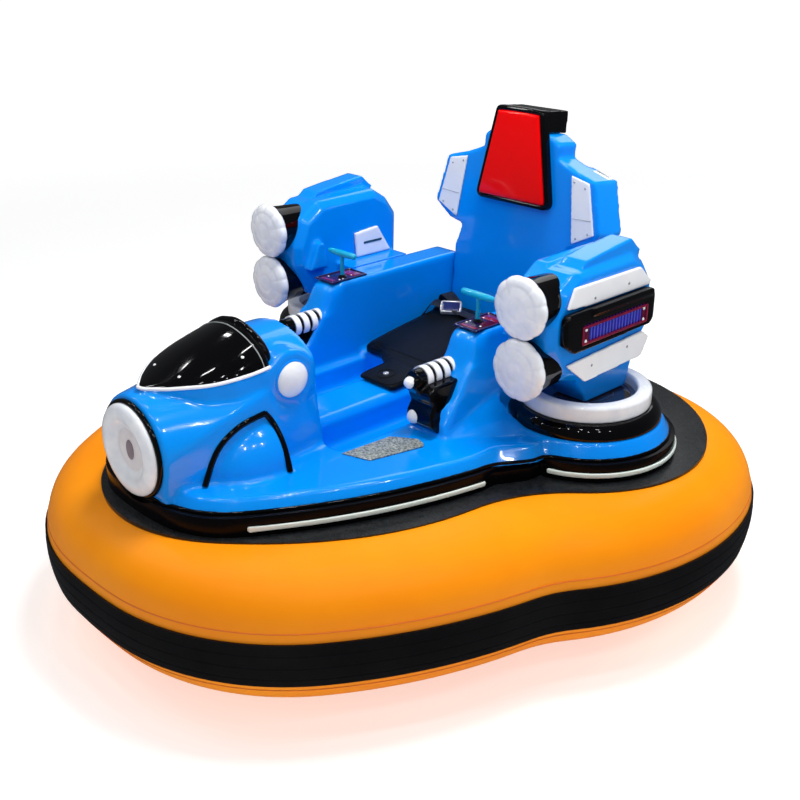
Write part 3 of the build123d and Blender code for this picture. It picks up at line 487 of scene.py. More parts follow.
def hood_mesh():
    """Smooth arched canopy through its sections, sunk a little into the cowl."""
    bm = bmesh.new()
    grid = []
    for y, half, foot, top, full in HOOD:
        row = [bm.verts.new((half, y, foot - 0.012))]
        for k in range(33):
            a = pi * k / 32
            x, z = half * power(cos(a), 2 / full), foot + (top - foot) * power(sin(a), 2 / full)
            row.append(bm.verts.new((x, y, z)))
        row.append(bm.verts.new((-half, y, foot - 0.012)))
        grid.append(row)
    for low, high in zip(grid, grid[1:]):
        for k in range(len(low) - 1):
            bm.faces.new((low[k], low[k + 1], high[k + 1], high[k]))
    bm.faces.new(grid[0])
    bm.faces.new(grid[-1])
    bmesh.ops.remove_doubles(bm, verts=bm.verts, dist=1e-5)
    bmesh.ops.recalc_face_normals(bm, faces=bm.faces)
    return worked(from_bm("hood", bm), ("SUBSURF", {"levels": 2}))


hood = place("canopy_shell", hood_mesh(), "gloss_black", angle=50)
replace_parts(hood, "canopy")

EDGES = {"hull_skirt": 0.006, "skirt_lights": 0.004, "deck": 0.004, "footplates": 0.0015,
         "console_plates": 0.0015, "exhaust_trim": 0.0015, "chassis": 0.002, "battery": 0.005,
         "drive_brackets": 0.0015, "hub_left": 0.002, "hub_right": 0.002}
for name, width in EDGES.items():
    bevelled(name, width)
for name in ("bumper_band", "pod_grilles", "caster_fork_front", "caster_fork_rear",
             "caster_wheel_front", "caster_wheel_rear"):
    smooth_by_angle(nodes[name])

# ---------------------------------------------------------------- placing on surfaces
def surface(obj):
    """Search tree of an object's mesh."""
    bm = bmesh.new()
    bm.from_mesh(obj.data)
    tree = BVHTree.FromBMesh(bm)
    bm.free()
    return tree


def onto(tree, point, lift=0.0):
    """The nearest place on a surface, lifted off it."""
    found, normal, _, _ = tree.find_nearest(Vector(point))
    return found + normal * lift


def mirror_x(points):
    """Points on the other side of the car."""
    return [Vector((-p[0], p[1], p[2])) for p in points]


def section_loop(mesh, z):
    """Points of the outer line where a level plane cuts a mesh, in order round the middle."""
    bm = bmesh.new()
    bm.from_mesh(mesh)
    everything = bm.verts[:] + bm.edges[:] + bm.faces[:]
    cut = bmesh.ops.bisect_plane(bm, geom=everything, plane_co=(0, 0, z), plane_no=(0, 0, 1))
    points = [v.co.copy() for v in cut["geom_cut"] if isinstance(v, bmesh.types.BMVert)]
    bm.free()
    steps = 160
    outer = [None] * steps
    for p in points:
        k = int((atan2(p.y, p.x) + pi) / (2 * pi) * steps) % steps
        if outer[k] is None or p.length > outer[k].length:
            outer[k] = p
    return [p for p in outer if p]


def framed(name, outline, rows, look, spot, cap=True, crown=0.0, slot=None):
    """Rounded form round an outline: rows are (inset, out); spot places its x, out, z in the model."""
    bm = bmesh.new()
    count = len(outline)
    inward = []
    for k in range(count):
        a, b = Vector(outline[k - 1]), Vector(outline[(k + 1) % count])
        along = (b - a).normalized()
        inward.append(Vector((-along.y, along.x)))
    loops = []
    for inset, out in rows:
        loop = []
        for p, n in zip(outline, inward):
            q = Vector(p) + n * inset
            loop.append(bm.verts.new(spot(q.x, out, q.y)))
        loops.append(loop)
    if cap:
        inset, out = rows[-1]
        edge = [Vector(p) + n * inset for p, n in zip(outline, inward)]
        middle = sum(edge, Vector((0, 0))) / count
        for shrink in (0.94, 0.8, 0.55, 0.3, 0.1):
            rise = out + crown * (1 - shrink ** 3)
            inner = [middle.lerp(p, shrink) for p in edge]
            loops.append([bm.verts.new(spot(q.x, rise, q.y)) for q in inner])
        bm.faces.new(loops[-1])
    for low, high in zip(loops, loops[1:]):
        for k in range(count):
            j = (k + 1) % count
            bm.faces.new((low[k], low[j], high[j], high[k]))
    bmesh.ops.recalc_face_normals(bm, faces=bm.faces)
    return place(name, from_bm(name, bm), look, slot, angle=40)


def oblong(x0, y0, x1, y1):
    """Corners of a rectangle, in order round it."""
    return [(x0, y0), (x1, y0), (x1, y1), (x0, y1)]


def closed_round(points, radius, steps=6):
    """Closed run of 2-D points with every corner rounded."""
    out = []
    count = len(points)
    for k in range(count):
        a, b, c = Vector(points[k - 1]), Vector(points[k]), Vector(points[(k + 1) % count])
        room = min(radius, (a - b).length * 0.48, (c - b).length * 0.48)
        start, end = b + (a - b).normalized() * room, b + (c - b).normalized() * room
        for i in range(steps + 1):
            t = i / steps
            out.append(tuple((1 - t) ** 2 * start + 2 * t * (1 - t) * b + t ** 2 * end))
    return out


# ---------------------------------------------------------------- tube seams
for label, z in (("upper", 0.322), ("lower", 0.160)):
    loop = [p.lerp(Vector((0, 0, p.z)), 0.0006) for p in section_loop(tube_skin.data, z)]
    bar("tube_seam_" + label, loop, 0.0022, "seam_orange", closed=True)
bar("hull_bead", section_loop(body_shell.data, 0.5040), 0.0046, "gloss_black", closed=True)

# ---------------------------------------------------------------- nose
body_tree = surface(body_shell)
hood_tree = surface(hood)
lamp_low, lamp_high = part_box("nose_lamp")
lamp_at = (0.0, lamp_high.y, (lamp_low.z + lamp_high.z) / 2)
nose_rows = [(0.1165, 0.0), (0.117, 0.003), (0.1155, 0.0075), (0.111, 0.012), (0.104, 0.0155),
             (0.095, 0.0176), (0.087, 0.018), (0.080, 0.0168), (0.074, 0.0130), (0.068, 0.0070),
             (0.060, 0.0025), (0.052, 0.0010)]
nose_light = lathe("nose_light", nose_rows, lamp_at, (0, -1, 0), "lamp_white", 128, angle=70)
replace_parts(nose_light, "nose_lamp")
# The nose lamp's dish is coloured grey as painted shade for its hollow.
dish_rows = [(0.056, 0.0012), (0.052, 0.0016), (0.046, 0.0034), (0.041, 0.0044), (0.036, 0.0036),
             (0.031, 0.0014), (0.026, 0.0010), (0.0, 0.0010)]
lathe("nose_dish", dish_rows, lamp_at, (0, -1, 0), "dish_painted_shade", angle=70)
# The slit in the nose lamp is a dark sheet: painted shade for the opening.
slot_ring = [(0.017 * cos(2 * pi * k / 32), 0.026 * sin(2 * pi * k / 32)) for k in range(32)]
framed("nose_slit_shade", slot_ring, [(0.0, 0.0), (0.0015, 0.0012), (0.004, 0.0004), (0.006, 0.0003)], "slit_painted_shade",
       lambda x, out, z: (lamp_at[0] + x, lamp_at[1] - 0.0018 - out, lamp_at[2] + z))
trim_low, trim_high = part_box("nose_trim")
trim_depth = trim_high.y - trim_low.y
ring_rows = [(0.1255, 0.0), (0.1255, trim_depth * 0.6), (0.1240, trim_depth * 0.85), (0.1210, trim_depth),
             (0.117, trim_depth * 0.96), (0.105, trim_depth * 0.96)]
nose_ring = lathe("nose_ring", ring_rows, (0.0, trim_high.y, lamp_at[2]), (0, -1, 0), "gloss_black", 128)
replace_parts(nose_ring, "nose_trim")

COWL_LAMP = (0.156, -0.410, 0.737)
LENS = [(0.046, 0.0), (0.0463, 0.002), (0.0445, 0.0055), (0.040, 0.009), (0.0335, 0.0124), (0.026, 0.015),
        (0.018, 0.0168), (0.009, 0.0178), (0.0, 0.018)]
BEZEL = [(0.0515, -0.001), (0.0515, 0.0012), (0.0500, 0.0024), (0.0468, 0.0026), (0.0460, 0.0010)]
for side, sign in SIDES:
    at = (sign * COWL_LAMP[0], *COWL_LAMP[1:])
    lathe("cowl_lens_" + side, LENS, at, (sign, 0, 0), "lamp_white", 72)
    lathe("cowl_bezel_" + side, BEZEL, at, (sign, 0, 0), "body_blue", 72)
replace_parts(bpy.data.objects["cowl_lens_left"], "side_lamps")

FRONT_TRIM = ((0.151, -0.684, 0.531), (0.1535, -0.672, 0.562), (0.1560, -0.662, 0.592),
              (0.159, -0.639, 0.632), (0.163, -0.592, 0.663), (0.1645, -0.548, 0.674),
              (0.1645, -0.505, 0.677))
REAR_TRIM = ((0.1645, -0.505, 0.677), (0.170, -0.492, 0.662), (0.180, -0.487, 0.643),
             (0.2045, -0.486, 0.6135), (0.2220, -0.486, 0.573), (0.2290, -0.489, 0.532))
for label, run in (("front", FRONT_TRIM), ("rear", REAR_TRIM)):
    points = [onto(body_tree, p, 0.0004) for p in run]
    for side, line in (("left", points), ("right", mirror_x(points))):
        bar(f"cheek_trim_{label}_{side}", line, 0.0078, "gloss_black")

HOOD_FOOT = ((0.1495, -0.470, 0.784), (0.1495, -0.510, 0.7815), (0.1430, -0.568, 0.778),
             (0.1300, -0.606, 0.7755), (0.1140, -0.641, 0.773), (0.0880, -0.674, 0.7705),
             (0.0600, -0.705, 0.769), (0.0340, -0.727, 0.768), (0.0130, -0.744, 0.767))
near_foot = [onto(body_tree, p, 0.0012) for p in HOOD_FOOT]
foot_line = near_foot + [Vector((0, -0.749, 0.767))] + mirror_x(reversed(near_foot))
bar("canopy_strip", foot_line, 0.0046, "gloss_white")


def hood_arch(y, lift):
    """Points over the canopy from side to side at one y."""
    points = []
    for k in range(19):
        a = pi * k / 18
        out = Vector((cos(a), 0.0, sin(a) * 0.75 + 0.06))
        start = Vector((0, y, 0.775)) + out.normalized() * 0.30
        found, normal, _, _ = hood_tree.ray_cast(start, -out)
        if found:
            points.append(found + normal * lift)
    return points


bar("canopy_hoop", hood_arch(-0.463, 0.003), 0.0105, "gloss_black")
bar("canopy_line", hood_arch(-0.486, 0.0004), 0.0016, "grey_line")
for k, spot in enumerate(((0.1147, -0.5254, 0.8152), (0.0573, -0.6748, 0.8044))):
    found, normal, _, _ = hood_tree.find_nearest(Vector(spot))
    for side, sign in SIDES:
        at, way = (sign * found.x, found.y, found.z), (sign * normal.x, normal.y, normal.z)
        dot(f"canopy_screw_{k}_{side}_0", at, way, 0.0042, "gloss_white")

# ---------------------------------------------------------------- turbine bases
TURBINE = (0.507, 0.320)
RING_FOOT, COLLAR_FOOT = 0.545, 0.583
RING = [(0.2085, 0.0), (0.2092, 0.003), (0.2092, 0.010), (0.2075, 0.018), (0.203, 0.0265), (0.196, 0.033),
        (0.188, 0.0368), (0.181, 0.038), (0.150, 0.038)]
COLLAR = [(0.165, 0.0), (0.1755, 0.0), (0.1783, 0.0018), (0.179, 0.0055), (0.179, 0.0340), (0.1782, 0.0382),
          (0.1758, 0.0418), (0.1720, 0.0436), (0.1675, 0.044), (0.1470, 0.044), (0.1430, 0.0430),
          (0.1402, 0.0400), (0.1388, 0.034), (0.138, 0.018), (0.138, 0.0)]
GLASS = [(0.1375, 0.016), (0.124, 0.018), (0.1225, 0.0165), (0.078, 0.0165), (0.0765, 0.0178),
         (0.072, 0.0178), (0.0705, 0.0165), (0.030, 0.0165), (0.0285, 0.018), (0.0, 0.018)]
for side, sign in SIDES:
    axle = (sign * TURBINE[0], TURBINE[1])
    lathe("turbine_ring_" + side, RING, (*axle, RING_FOOT), (0, 0, 1), "gloss_black", 144)
    lathe("turbine_collar_" + side, COLLAR, (*axle, COLLAR_FOOT), (0, 0, 1), "lamp_white", 144, angle=60)
    lathe("turbine_glass_" + side, GLASS, (*axle, COLLAR_FOOT), (0, 0, 1), "smoked_glass", 144)
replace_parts(bpy.data.objects["turbine_ring_left"], "turbine_rings")
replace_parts(bpy.data.objects["turbine_collar_left"], "turbine_collars")
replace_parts(bpy.data.objects["turbine_glass_left"], "turbine_discs")


# ---------------------------------------------------------------- pods
def scallop(a, r, h):
    """Radius factor of a pod lamp's wavy rim."""
    return 1.0 - 0.050 * (1.0 - abs(cos(5 * a)) ** 0.55) * min(1.0, r / 0.082) ** 4


def petals(a, r, h):
    """Shallow hollows between the petals of a pod lamp's face."""
    if r <= 0.036:
        return 0.0
    return -0.0016 * (1.0 - abs(cos(5 * a)) ** 0.5) * max(0.0, sin(pi * (r - 0.036) / 0.046))


PANEL_DOTS = ((0.3617, 0.9163), (0.2197, 0.9087), (0.3764, 0.7378), (0.2250, 0.7260))
LAMP = [(0.060, -0.004), (0.0790, -0.002), (0.0815, 0.003), (0.082, 0.0085), (0.0808, 0.0135),
        (0.0775, 0.0175), (0.0725, 0.0205), (0.066, 0.0230), (0.0600, 0.0243), (0.0570, 0.0236),
        (0.0540, 0.0246), (0.046, 0.0268), (0.038, 0.0281), (0.0300, 0.0288), (0.0260, 0.0278),
        (0.0220, 0.0288), (0.012, 0.0298), (0.0, 0.0300)]
VENT_RIM = [(0.0, -0.003), (0.0, 0.0010), (0.0010, 0.0018), (0.0060, 0.0018), (0.0072, 0.0006),
            (0.0072, -0.007)]
VENT_FACE = 0.6060
for side, sign in SIDES:
    for k, (x, z) in enumerate(LAMP_AXES):
        lathe(f"pod_light_{side}_{k}", LAMP, (sign * x, LAMP_Y, z), (0, -1, 0), "lamp_white", 160,
              scallop, petals, angle=60)
    for k, (y, z) in enumerate(PANEL_DOTS):
        dot(f"panel_screw_{side}_{k}_0", (sign * 0.592, y, z), (sign, 0, 0), 0.0040, "screw_grey")
    ring = closed_round([(sign * y, z) for y, z in oblong(0.1575, 0.7985, 0.4375, 0.8490)], 0.007, 4)
    framed("vent_frame_" + side, ring[::sign], VENT_RIM, "crimson",
           lambda y, out, z: (sign * (VENT_FACE + out), sign * y, z), cap=False)
    for k, (y0, y1) in enumerate(((0.1640, 0.187), (0.412, 0.4310))):
        outline = [(sign * 0.597, y, z) for y, z in oblong(y0, 0.804, y1, 0.843)]
        slab(f"vent_end_{side}_{k}", outline, (sign * 0.0085, 0, 0), "dark_crimson", 0.002)
        for i, z in enumerate((0.8085, 0.8385)):
            at = (sign * 0.6055, (y0 + y1) / 2 - 0.002, z)
            dot(f"vent_stud_{side}_{k}{i}_0", at, (sign, 0, 0), 0.0046, "gloss_white")
    # A dark sheet in the inner plate's slot, as painted shade for its opening.
    edge = closed_round(oblong(0.331, 0.8275, 0.409, 0.8345), 0.003, 3)
    outline = [(sign * 0.4056, y, z) for y, z in edge]
    slab("pod_slot_shade_" + side, outline, (-sign * 0.0018, 0, 0), "slot_painted_shade", 0.0005)
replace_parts(bpy.data.objects["pod_light_left_0"], "pod_lamps")

# ---------------------------------------------------------------- seat back
LEAN = Matrix.Translation((0, 0.550, 0.535)) @ Matrix.Rotation(radians(-5), 4, "X")
half_rim = [(0.045, 0.7405), (0.084, 0.738), (0.0925, 0.729), (0.144, 0.478), (0.141, 0.462), (0.126, 0.453)]
rim_corners = half_rim + [(-x, z) for x, z in reversed(half_rim)]
rim_line = closed_round(list(reversed(rim_corners)), 0.040, 9)


def on_back(x, out, z):
    """A place on the leaning seat back: across, in front of its face, above the sill."""
    return LEAN @ Vector((x, -out, z))


rim_rows = [(0.0, -0.001), (0.0, 0.014), (0.0014, 0.0198), (0.0048, 0.0238), (0.0092, 0.0250),
            (0.0130, 0.0242), (0.0152, 0.0218), (0.0160, 0.0180)]
rim = framed("back_frame", rim_line, rim_rows, "gloss_black", on_back, cap=False)
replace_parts(rim, "back_rim")
red_rows = [(0.0150, 0.0180), (0.0154, 0.0235), (0.0168, 0.0265), (0.0192, 0.0282), (0.0225, 0.0288)]
red = framed("back_cushion_panel", rim_line, red_rows, "panel_red", on_back, crown=0.0010)
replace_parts(red, "back_panel")

WING_ROOT = 0.190
WING_SWEEP = 0.0523


def on_wing(sign, x, out, z):
    """A place on a wing of the seat back, which is swept forward."""
    swept = WING_SWEEP * (x - WING_ROOT)
    return LEAN @ Vector((sign * (WING_ROOT + (x - WING_ROOT) * 0.9986), -out - swept, z))


for side, sign in SIDES:
    way = LEAN.to_3x3() @ Vector((-sign * WING_SWEEP, -1, 0))
    for k, (x, z) in enumerate(((0.247, 0.392), (0.290, 0.413), (0.220, 0.552), (0.262, 0.540))):
        dot(f"wing_screw_{side}_{k}_0", on_wing(sign, x, 0.006, z), way, 0.0036, "screw_grey")
    line = [on_wing(sign, x, 0.0062, z) for x, z in ((0.227, 0.448), (0.262, 0.450), (0.297, 0.452))]
    bar("wing_line_" + side, line, 0.0008, "screw_grey")
    outer, inner = Vector((0.290, 0.562)), Vector((0.190, 0.588))
    outline = []
    for along, depth in oblong(0.06, 0.070, 0.66, 0.098):
        p = outer.lerp(inner, along)
        outline.append(on_wing(sign, p.x, -depth, p.y - 0.001))
    thickness = on_wing(sign, 0.2910, 0, 0.5655) - on_wing(sign, 0.290, 0, 0.562)
    slab("wing_top_plate_" + side, outline, thickness, "gloss_white", 0.0012)
    places = [outer.lerp(inner, along) for along in (0.14, 0.36, 0.58)]
    line = [on_wing(sign, p.x, -0.084, p.y + 0.0030) for p in places]
    # The groove along the wing's top plate is drawn as a dark line of painted shade.
    bar("wing_top_line_" + side, line, 0.0014, "slot_painted_shade", slot="gloss_white")

# ---------------------------------------------------------------- controls
PLATE_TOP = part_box("console_plates")[1].z
STICK = (0.278, 0.130)
GRIP_Z = 0.862
GRIP = [(0.0, -0.0600), (0.0050, -0.0597), (0.0078, -0.0575), (0.0090, -0.0530), (0.0096, -0.0400),
        (0.0100, -0.0100), (0.0100, 0.0120), (0.0094, 0.0340), (0.0082, 0.0480), (0.0068, 0.0565),
        (0.0040, 0.0596), (0.0, 0.0600)]
STEM = [(0.0066, 0.000), (0.0066, 0.030), (0.0058, 0.034), (0.0058, 0.062), (0.0068, 0.068), (0.0068, 0.074)]
BOOT = [(0.0139, 0.0), (0.0139, 0.0022), (0.0115, 0.0030), (0.0122, 0.0045), (0.0100, 0.0055),
        (0.0105, 0.0068), (0.0068, 0.0080)]
SPOTS = ((0.2535, 0.0705, "silver"), (0.3265, 0.0705, "silver"), (0.2535, 0.2005, "silver"),
         (0.3265, 0.2005, "silver"), (0.262, 0.104, "gloss_white"), (0.262, 0.118, "gloss_white"),
         (0.312, 0.104, "gloss_white"), (0.300, 0.160, "grille_violet"), (0.300, 0.182, "grille_violet"),
         (0.272, 0.160, "gloss_white"), (0.272, 0.182, "grille_violet"))
ZONES = {"a": oblong(0.262, 0.156, 0.318, 0.192), "b": oblong(0.262, 0.077, 0.318, 0.091)}
for side, sign in SIDES:
    foot = (sign * STICK[0], STICK[1], PLATE_TOP)
    lathe("grip_" + side, GRIP, (*foot[:2], GRIP_Z), (sign, 0, 0), "joystick_cyan", 40, angle=60)
    lathe("stem_" + side, STEM, foot, (0, 0, 1), "joystick_cyan", 32)
    lathe("boot_" + side, BOOT, foot, (0, 0, 1), "rubber_black", 40)
    edge = closed_round(oblong(0.251, 0.068, 0.329, 0.203), 0.004, 3)
    line = [(sign * x, y, PLATE_TOP) for x, y in edge]
    bar("plate_edge_" + side, line, 0.0022, "button_blue", closed=True)
    for label, zone in ZONES.items():
        outline = [(sign * x, y, PLATE_TOP - 0.001) for x, y in closed_round(zone, 0.005, 3)]
        slab(f"plate_zone_{label}_{side}", outline, (0, 0, 0.0018), "crimson", 0.0005, "control_plate")
    for k, (x, y, look) in enumerate(SPOTS):
        at = (sign * x, y, PLATE_TOP + 0.0004)
        dot(f"plate_spot_{side}_{k}_0", at, (0, 0, 1), 0.0030, look, "control_plate")
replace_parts(bpy.data.objects["grip_left"], "joysticks")

# ---------------------------------------------------------------- seat cushion and belt
PAD_CAP = 0.0080
PAD_ROOM = ((-0.2376, -0.012, 0.5524), (0.2376, 0.5490, 0.660))


def swollen_pad():
    """The seat pad: the CAD cushion drawn in a little, then blown up as cloth."""
    mesh = worked(solid_of(["seat_cushion"], -0.0045),
                  ("REMESH", {"mode": "VOXEL", "voxel_size": 0.0055, "adaptivity": 0.0}),
                  ("SMOOTH", {"factor": 0.5, "iterations": 5}))
    obj = linked("pad", mesh)
    rest = [v.co.copy() for v in mesh.vertices]
    cloth = obj.modifiers.new("cloth", "CLOTH")
    cloth.settings.use_pressure = True
    cloth.settings.uniform_pressure_force = 4.0
    cloth.settings.effector_weights.gravity = 0.0
    cloth.settings.quality = 4
    cloth.collision_settings.use_collision = False
    for step in range(1, 21):
        scene.frame_set(step)
    done = evaluated(obj)
    for v, start in zip(done.vertices, rest):
        move = v.co - start
        if move.length > PAD_CAP:
            v.co = start + move.normalized() * PAD_CAP
    bpy.data.objects.remove(obj)
    bpy.data.meshes.remove(mesh)
    scene.frame_set(1)
    return done


pad_mesh = swollen_pad()
for v in pad_mesh.vertices:
    v.co = [min(max(c, low), high) for c, low, high in zip(v.co, *PAD_ROOM)]
pad_mesh = worked(pad_mesh, ("SMOOTH", {"factor": 0.5, "iterations": 2}), ("SUBSURF", {"levels": 1}))
pad = place("seat_pad", pad_mesh, "seat_leather")
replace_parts(pad, "seat_cushion")
pad_tree = surface(pad)


def on_pad(x, y, lift=0.0):
    """A place on top of the cushion, lifted off it."""
    found, normal, _, _ = pad_tree.ray_cast(Vector((x, y, 0.80)), Vector((0, 0, -1)))
    return found + Vector((0, 0, lift)) if found else Vector((x, y, 0.60 + lift))


half_pad = [(0.050, 0.010), (0.063, 0.024), (0.065, 0.116), (0.140, 0.166), (0.212, 0.176), (0.214, 0.522)]
pad_plan = closed_round(half_pad + [(-x, y) for x, y in reversed(half_pad)], 0.022, 4)
dense = []
for a, b in zip(pad_plan, pad_plan[1:] + pad_plan[:1]):
    a, b = Vector(a), Vector(b)
    parts_between = max(1, int((b - a).length / 0.015))
    dense += [a.lerp(b, k / parts_between) for k in range(parts_between)]
rim_seam = [on_pad(p.x, p.y, 0.0002) for p in dense]
bar("pad_seam_edge", rim_seam, 0.0017, "seat_leather", closed=True)
cross = [on_pad(-0.140 + 0.02 * k, 0.172, 0.0002) for k in range(15)]
bar("pad_seam_cross", cross, 0.0015, "seat_leather")
turns = [2 * pi * k / 24 for k in range(24)]
ring = [on_pad(0.026 * cos(a), 0.050 + 0.026 * sin(a)) for a in turns]
bar("pad_seam_round", ring, 0.0016, "seat_leather", closed=True)
button = [(0.0, 0.0042), (0.0055, 0.0038), (0.0085, 0.0022), (0.0092, 0.0), (0.0092, -0.003)]
lathe("pad_button", button, on_pad(0.0, 0.050), (0, -0.09, 1), "silver", 32)


def smooth_run(points, steps=6):
    """Catmull-Rom line through 3-D points."""
    pts = [Vector(p) for p in points]
    pts = [2 * pts[0] - pts[1]] + pts + [2 * pts[-1] - pts[-2]]
    out = []
    for a, b, c, d in zip(pts, pts[1:], pts[2:], pts[3:]):
        for k in range(steps):
            t = k / steps
            out.append(0.5 * ((2 * b) + (c - a) * t + (2 * a - 5 * b + 4 * c - d) * t * t
                              + (3 * b - a - 3 * c + d) * t ** 3))
    return out + [pts[-2]]


def ribbon(name, points, half, thick, look, turn):
    """Flat strap along a smooth line; its width lies level, turned by the given degrees along the way."""
    line = smooth_run(points)
    bm = bmesh.new()
    rows = []
    for k, p in enumerate(line):
        ahead = (line[min(k + 1, len(line) - 1)] - line[max(k - 1, 0)]).normalized()
        side = Vector((-ahead.y, ahead.x, 0)).normalized()
        angle = radians(turn[0] + (turn[1] - turn[0]) * k / (len(line) - 1))
        side = Matrix.Rotation(angle, 3, ahead) @ side
        up = ahead.cross(side)
        edge, skin = half - thick * 0.4, thick / 2
        profile = ((-half, 0), (-edge, skin), (-half * 0.3, skin), (half * 0.3, skin), (edge, skin),
                   (half, 0), (edge, -skin), (-edge, -skin))
        rows.append([bm.verts.new(p + side * a + up * b) for a, b in profile])
    for low, high in zip(rows, rows[1:]):
        for k in range(8):
            bm.faces.new((low[k], low[(k + 1) % 8], high[(k + 1) % 8], high[k]))
    bm.faces.new(rows[0])
    bm.faces.new(rows[-1])
    bmesh.ops.recalc_face_normals(bm, faces=bm.faces)
    return place(name, from_bm(name, bm), look, angle=60)


# Belt runs: x, y and height above the cushion, then the strap's turn at both ends in degrees.
STRAPS = {
    "belt_near": (((0.234, 0.470, 0.016), (0.205, 0.472, 0.004), (0.10, 0.474, 0.003), (0.0, 0.470, 0.003),
                   (-0.070, 0.464, 0.006), (-0.115, 0.460, 0.013)), (0, 6)),
    "belt_far": (((-0.234, 0.425, 0.006), (-0.222, 0.430, 0.022), (-0.198, 0.440, 0.030),
                  (-0.172, 0.450, 0.022), (-0.150, 0.456, 0.014)), (10, 0)),
    "belt_slack": (((-0.234, 0.515, 0.018), (-0.214, 0.512, 0.034), (-0.186, 0.506, 0.028),
                    (-0.160, 0.502, 0.010), (-0.178, 0.480, 0.006), (-0.212, 0.470, 0.010)), (8, -12)),
}
for label, (run, turn) in STRAPS.items():
    ribbon(label, [on_pad(*place_up) for place_up in run], 0.023, 0.0028, "webbing", turn)
buckle_at = on_pad(-0.133, 0.456, 0.019)
buckle_turn = Matrix.Rotation(radians(38), 4, "Z") @ Matrix.Rotation(radians(32), 4, "X")
BUCKLE = Matrix.Translation(buckle_at) @ buckle_turn
buckle_line = closed_round(oblong(-0.034, -0.024, 0.034, 0.024), 0.010, 5)


def on_buckle(x, out, y):
    """A place on the tilted buckle."""
    return BUCKLE @ Vector((x, y, out))


case_rows = [(0.015, -0.0075), (0.002, -0.0075), (0.0, -0.0055), (0.0, 0.0040), (0.0012, 0.0062),
             (0.0035, 0.0070), (0.0058, 0.0062), (0.0064, 0.0035)]
framed("belt_buckle", buckle_line, case_rows, "silver", on_buckle, cap=False)
press_rows = [(0.0062, 0.0030), (0.0066, 0.0050), (0.0085, 0.0058)]
framed("belt_button", buckle_line, press_rows, "button_blue", on_buckle, crown=0.0008, slot="gloss_black")

# ---------------------------------------------------------------- back of the seat
half_cover = [(0.150, 0.110), (0.165, 0.130), (0.150, 0.420), (0.125, 0.445)]
cover_line = closed_round([(-x, z) for x, z in half_cover] + list(reversed(half_cover)), 0.022, 5)


def behind(x, out, z):
    """A place on the rear face of the seat back."""
    return LEAN @ Vector((x, 0.0845 + out, z))


cover_rows = [(0.0, -0.001), (0.0, 0.0030), (0.0012, 0.0046), (0.0035, 0.0052), (0.012, 0.0052),
              (0.0135, 0.0038), (0.0160, 0.0038)]
framed("rear_cover", list(reversed(cover_line)), cover_rows, "body_blue", behind, crown=0.0012)
rear_way = LEAN.to_3x3() @ Vector((0, 1, 0))
for k, (x, z) in enumerate(((0.143, 0.128), (0.146, 0.270), (0.126, 0.418), (0.0, 0.120), (0.0, 0.436))):
    for side, sign in SIDES:
        if x or sign > 0:
            dot(f"cover_screw_{k}_{side}_0", behind(sign * x, 0.0050, z), rear_way, 0.0048, "screw_grey")
cap_rows = [(0.0, 0.0100), (0.012, 0.0098), (0.0150, 0.0080), (0.0165, 0.0075), (0.0270, 0.0070),
            (0.0300, 0.0050), (0.0310, 0.0), (0.0310, -0.002)]
lathe("charge_cap", cap_rows, behind(0.0, 0.0, 0.062), rear_way, "gloss_black", 48)


# ---------------------------------------------------------------- road tread
def tread(a, r, h):
    """Radius factor of the drive tyres: cross grooves on both shoulders."""
    return 0.972 if r > 0.096 and abs(h) > 0.0065 and sin(30 * a) > 0.55 else 1.0


for side, sign in SIDES:
    low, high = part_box("tyre_" + side)
    middle = (low + high) / 2
    wide, outer = (high.x - low.x) / 2, (high.z - low.z) / 2
    rows = [(0.068, -wide), (outer - 0.012, -wide), (outer - 0.004, -wide + 0.003),
            (outer - 0.0005, -wide + 0.008), (outer, -0.0075), (outer - 0.0035, -0.0060),
            (outer - 0.0035, -0.0035), (outer, -0.0020), (outer, 0.0020), (outer - 0.0035, 0.0035),
            (outer - 0.0035, 0.0060), (outer, 0.0075), (outer - 0.0005, wide - 0.008),
            (outer - 0.004, wide - 0.003), (outer - 0.012, wide), (0.068, wide)]
    made = lathe("tread_" + side, rows, middle, (1, 0, 0), "tyre_rubber", 240, tread, body="drive_" + side)
    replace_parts(made, "tyre_" + side)

# ---------------------------------------------------------------- studio
FAR = 80.0
floor_mesh = bpy.data.meshes.new("floor")
floor_mesh.from_pydata([(x, y, 0) for x, y in oblong(-FAR, -FAR, FAR, FAR)], [], [(0, 1, 2, 3)])
floor = linked("floor", floor_mesh)
floor.visible_glossy = False
floor_look = material("floor", (0.7, 0.7, 0.7), 0.85, other=(0.68, 0.68, 0.68), bump=0.0, spec=0.05)
floor_tree = floor_look.node_tree
floor_shader = fill(floor_tree.nodes["Principled BSDF"], {"Emission Color": (1.0, 1.0, 1.0, 1)})
reach = floor_tree.nodes.new("ShaderNodeVectorMath")
reach.operation = "LENGTH"
floor_coords = next(n for n in floor_tree.nodes if n.type == "TEX_COORD")
floor_tree.links.new(floor_coords.outputs["Object"], reach.inputs[0])
glow = add_node(floor_tree, "MapRange", {"From Min": 2.0, "From Max": 8.0, "To Min": 0.55, "To Max": 1.0})
wire(floor_tree, (reach, "Value", glow, "Value"), (glow, "Result", floor_shader, "Emission Strength"))
floor_mesh.materials.append(floor_look)
dome_bm = bmesh.new()
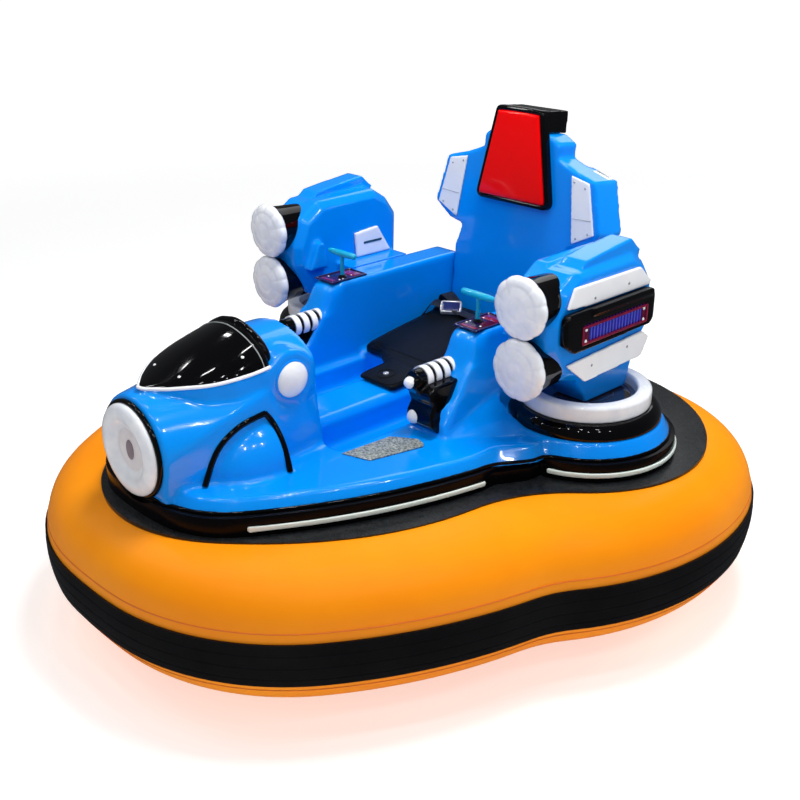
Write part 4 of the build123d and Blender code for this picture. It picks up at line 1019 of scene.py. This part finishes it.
bmesh.ops.create_uvsphere(dome_bm, u_segments=48, v_segments=24, radius=FAR * 0.9)
dome = linked("backdrop", from_bm("backdrop", dome_bm))
dome_look = material("backdrop", (0.9, 0.9, 0.9), 0.9, other=(0.88, 0.88, 0.88), bump=0.0, spec=0.0)
dome_shader = dome_look.node_tree.nodes["Principled BSDF"]
fill(dome_shader, {"Emission Color": (1.0, 1.0, 1.0, 1), "Emission Strength": 1.0})
dome.data.materials.append(dome_look)
dome.visible_diffuse = False
dome.visible_glossy = False
dome.visible_shadow = False
world = bpy.data.worlds.new("studio")
scene.world = world
world.use_nodes = True
fill(world.node_tree.nodes["Background"], {"Color": (0.92, 0.96, 1.0, 1), "Strength": 0.09})


def light(name, at, target, size, size_y, power, glossy=False):
    """Area light that looks at a point; only a glossy one shows in reflections."""
    data = bpy.data.lights.new(name, "AREA")
    data.shape = "RECTANGLE"
    data.size = size
    data.size_y = size_y
    data.energy = power
    obj = linked(name, data)
    obj.location = at
    obj.rotation_euler = (Vector(target) - Vector(at)).to_track_quat("-Z", "Y").to_euler()
    obj.visible_glossy = glossy


light("key", (2.6, -3.0, 3.4), (0, 0, 0.5), 1.2, 1.2, 21)
light("top", (0.65, 0.5, 4.0), (0.0, 0.0, 0.4), 1.1, 1.1, 100)
light("side", (-3.0, -2.2, 2.4), (0, 0, 0.5), 1.2, 1.2, 10)
light("rim", (2.6, 3.8, 2.6), (0.2, 0, 0.6), 2.2, 2.2, 62)
light("sheen", (-1.6, 3.2, 3.4), (0, 0, 0.6), 2.4, 2.4, 24, True)
for k in range(16):
    light(f"spark_{k}", (-2.8 + 0.40 * k, -2.2 + 0.75 * (k % 4), 3.2), (0, 0, 0.6), 0.06, 0.28, 3.6, True)

camera_data = bpy.data.cameras.new("camera")
camera_data.lens = 49.5
camera_data.sensor_width = 36.0
camera_data.clip_end = 400.0
camera = linked("camera", camera_data)
camera.location = (2.161, -1.950, 1.776)
camera.rotation_euler = (radians(90 - 23.529), 0, radians(46.427))
scene.camera = camera
scene.view_settings.view_transform = "Standard"
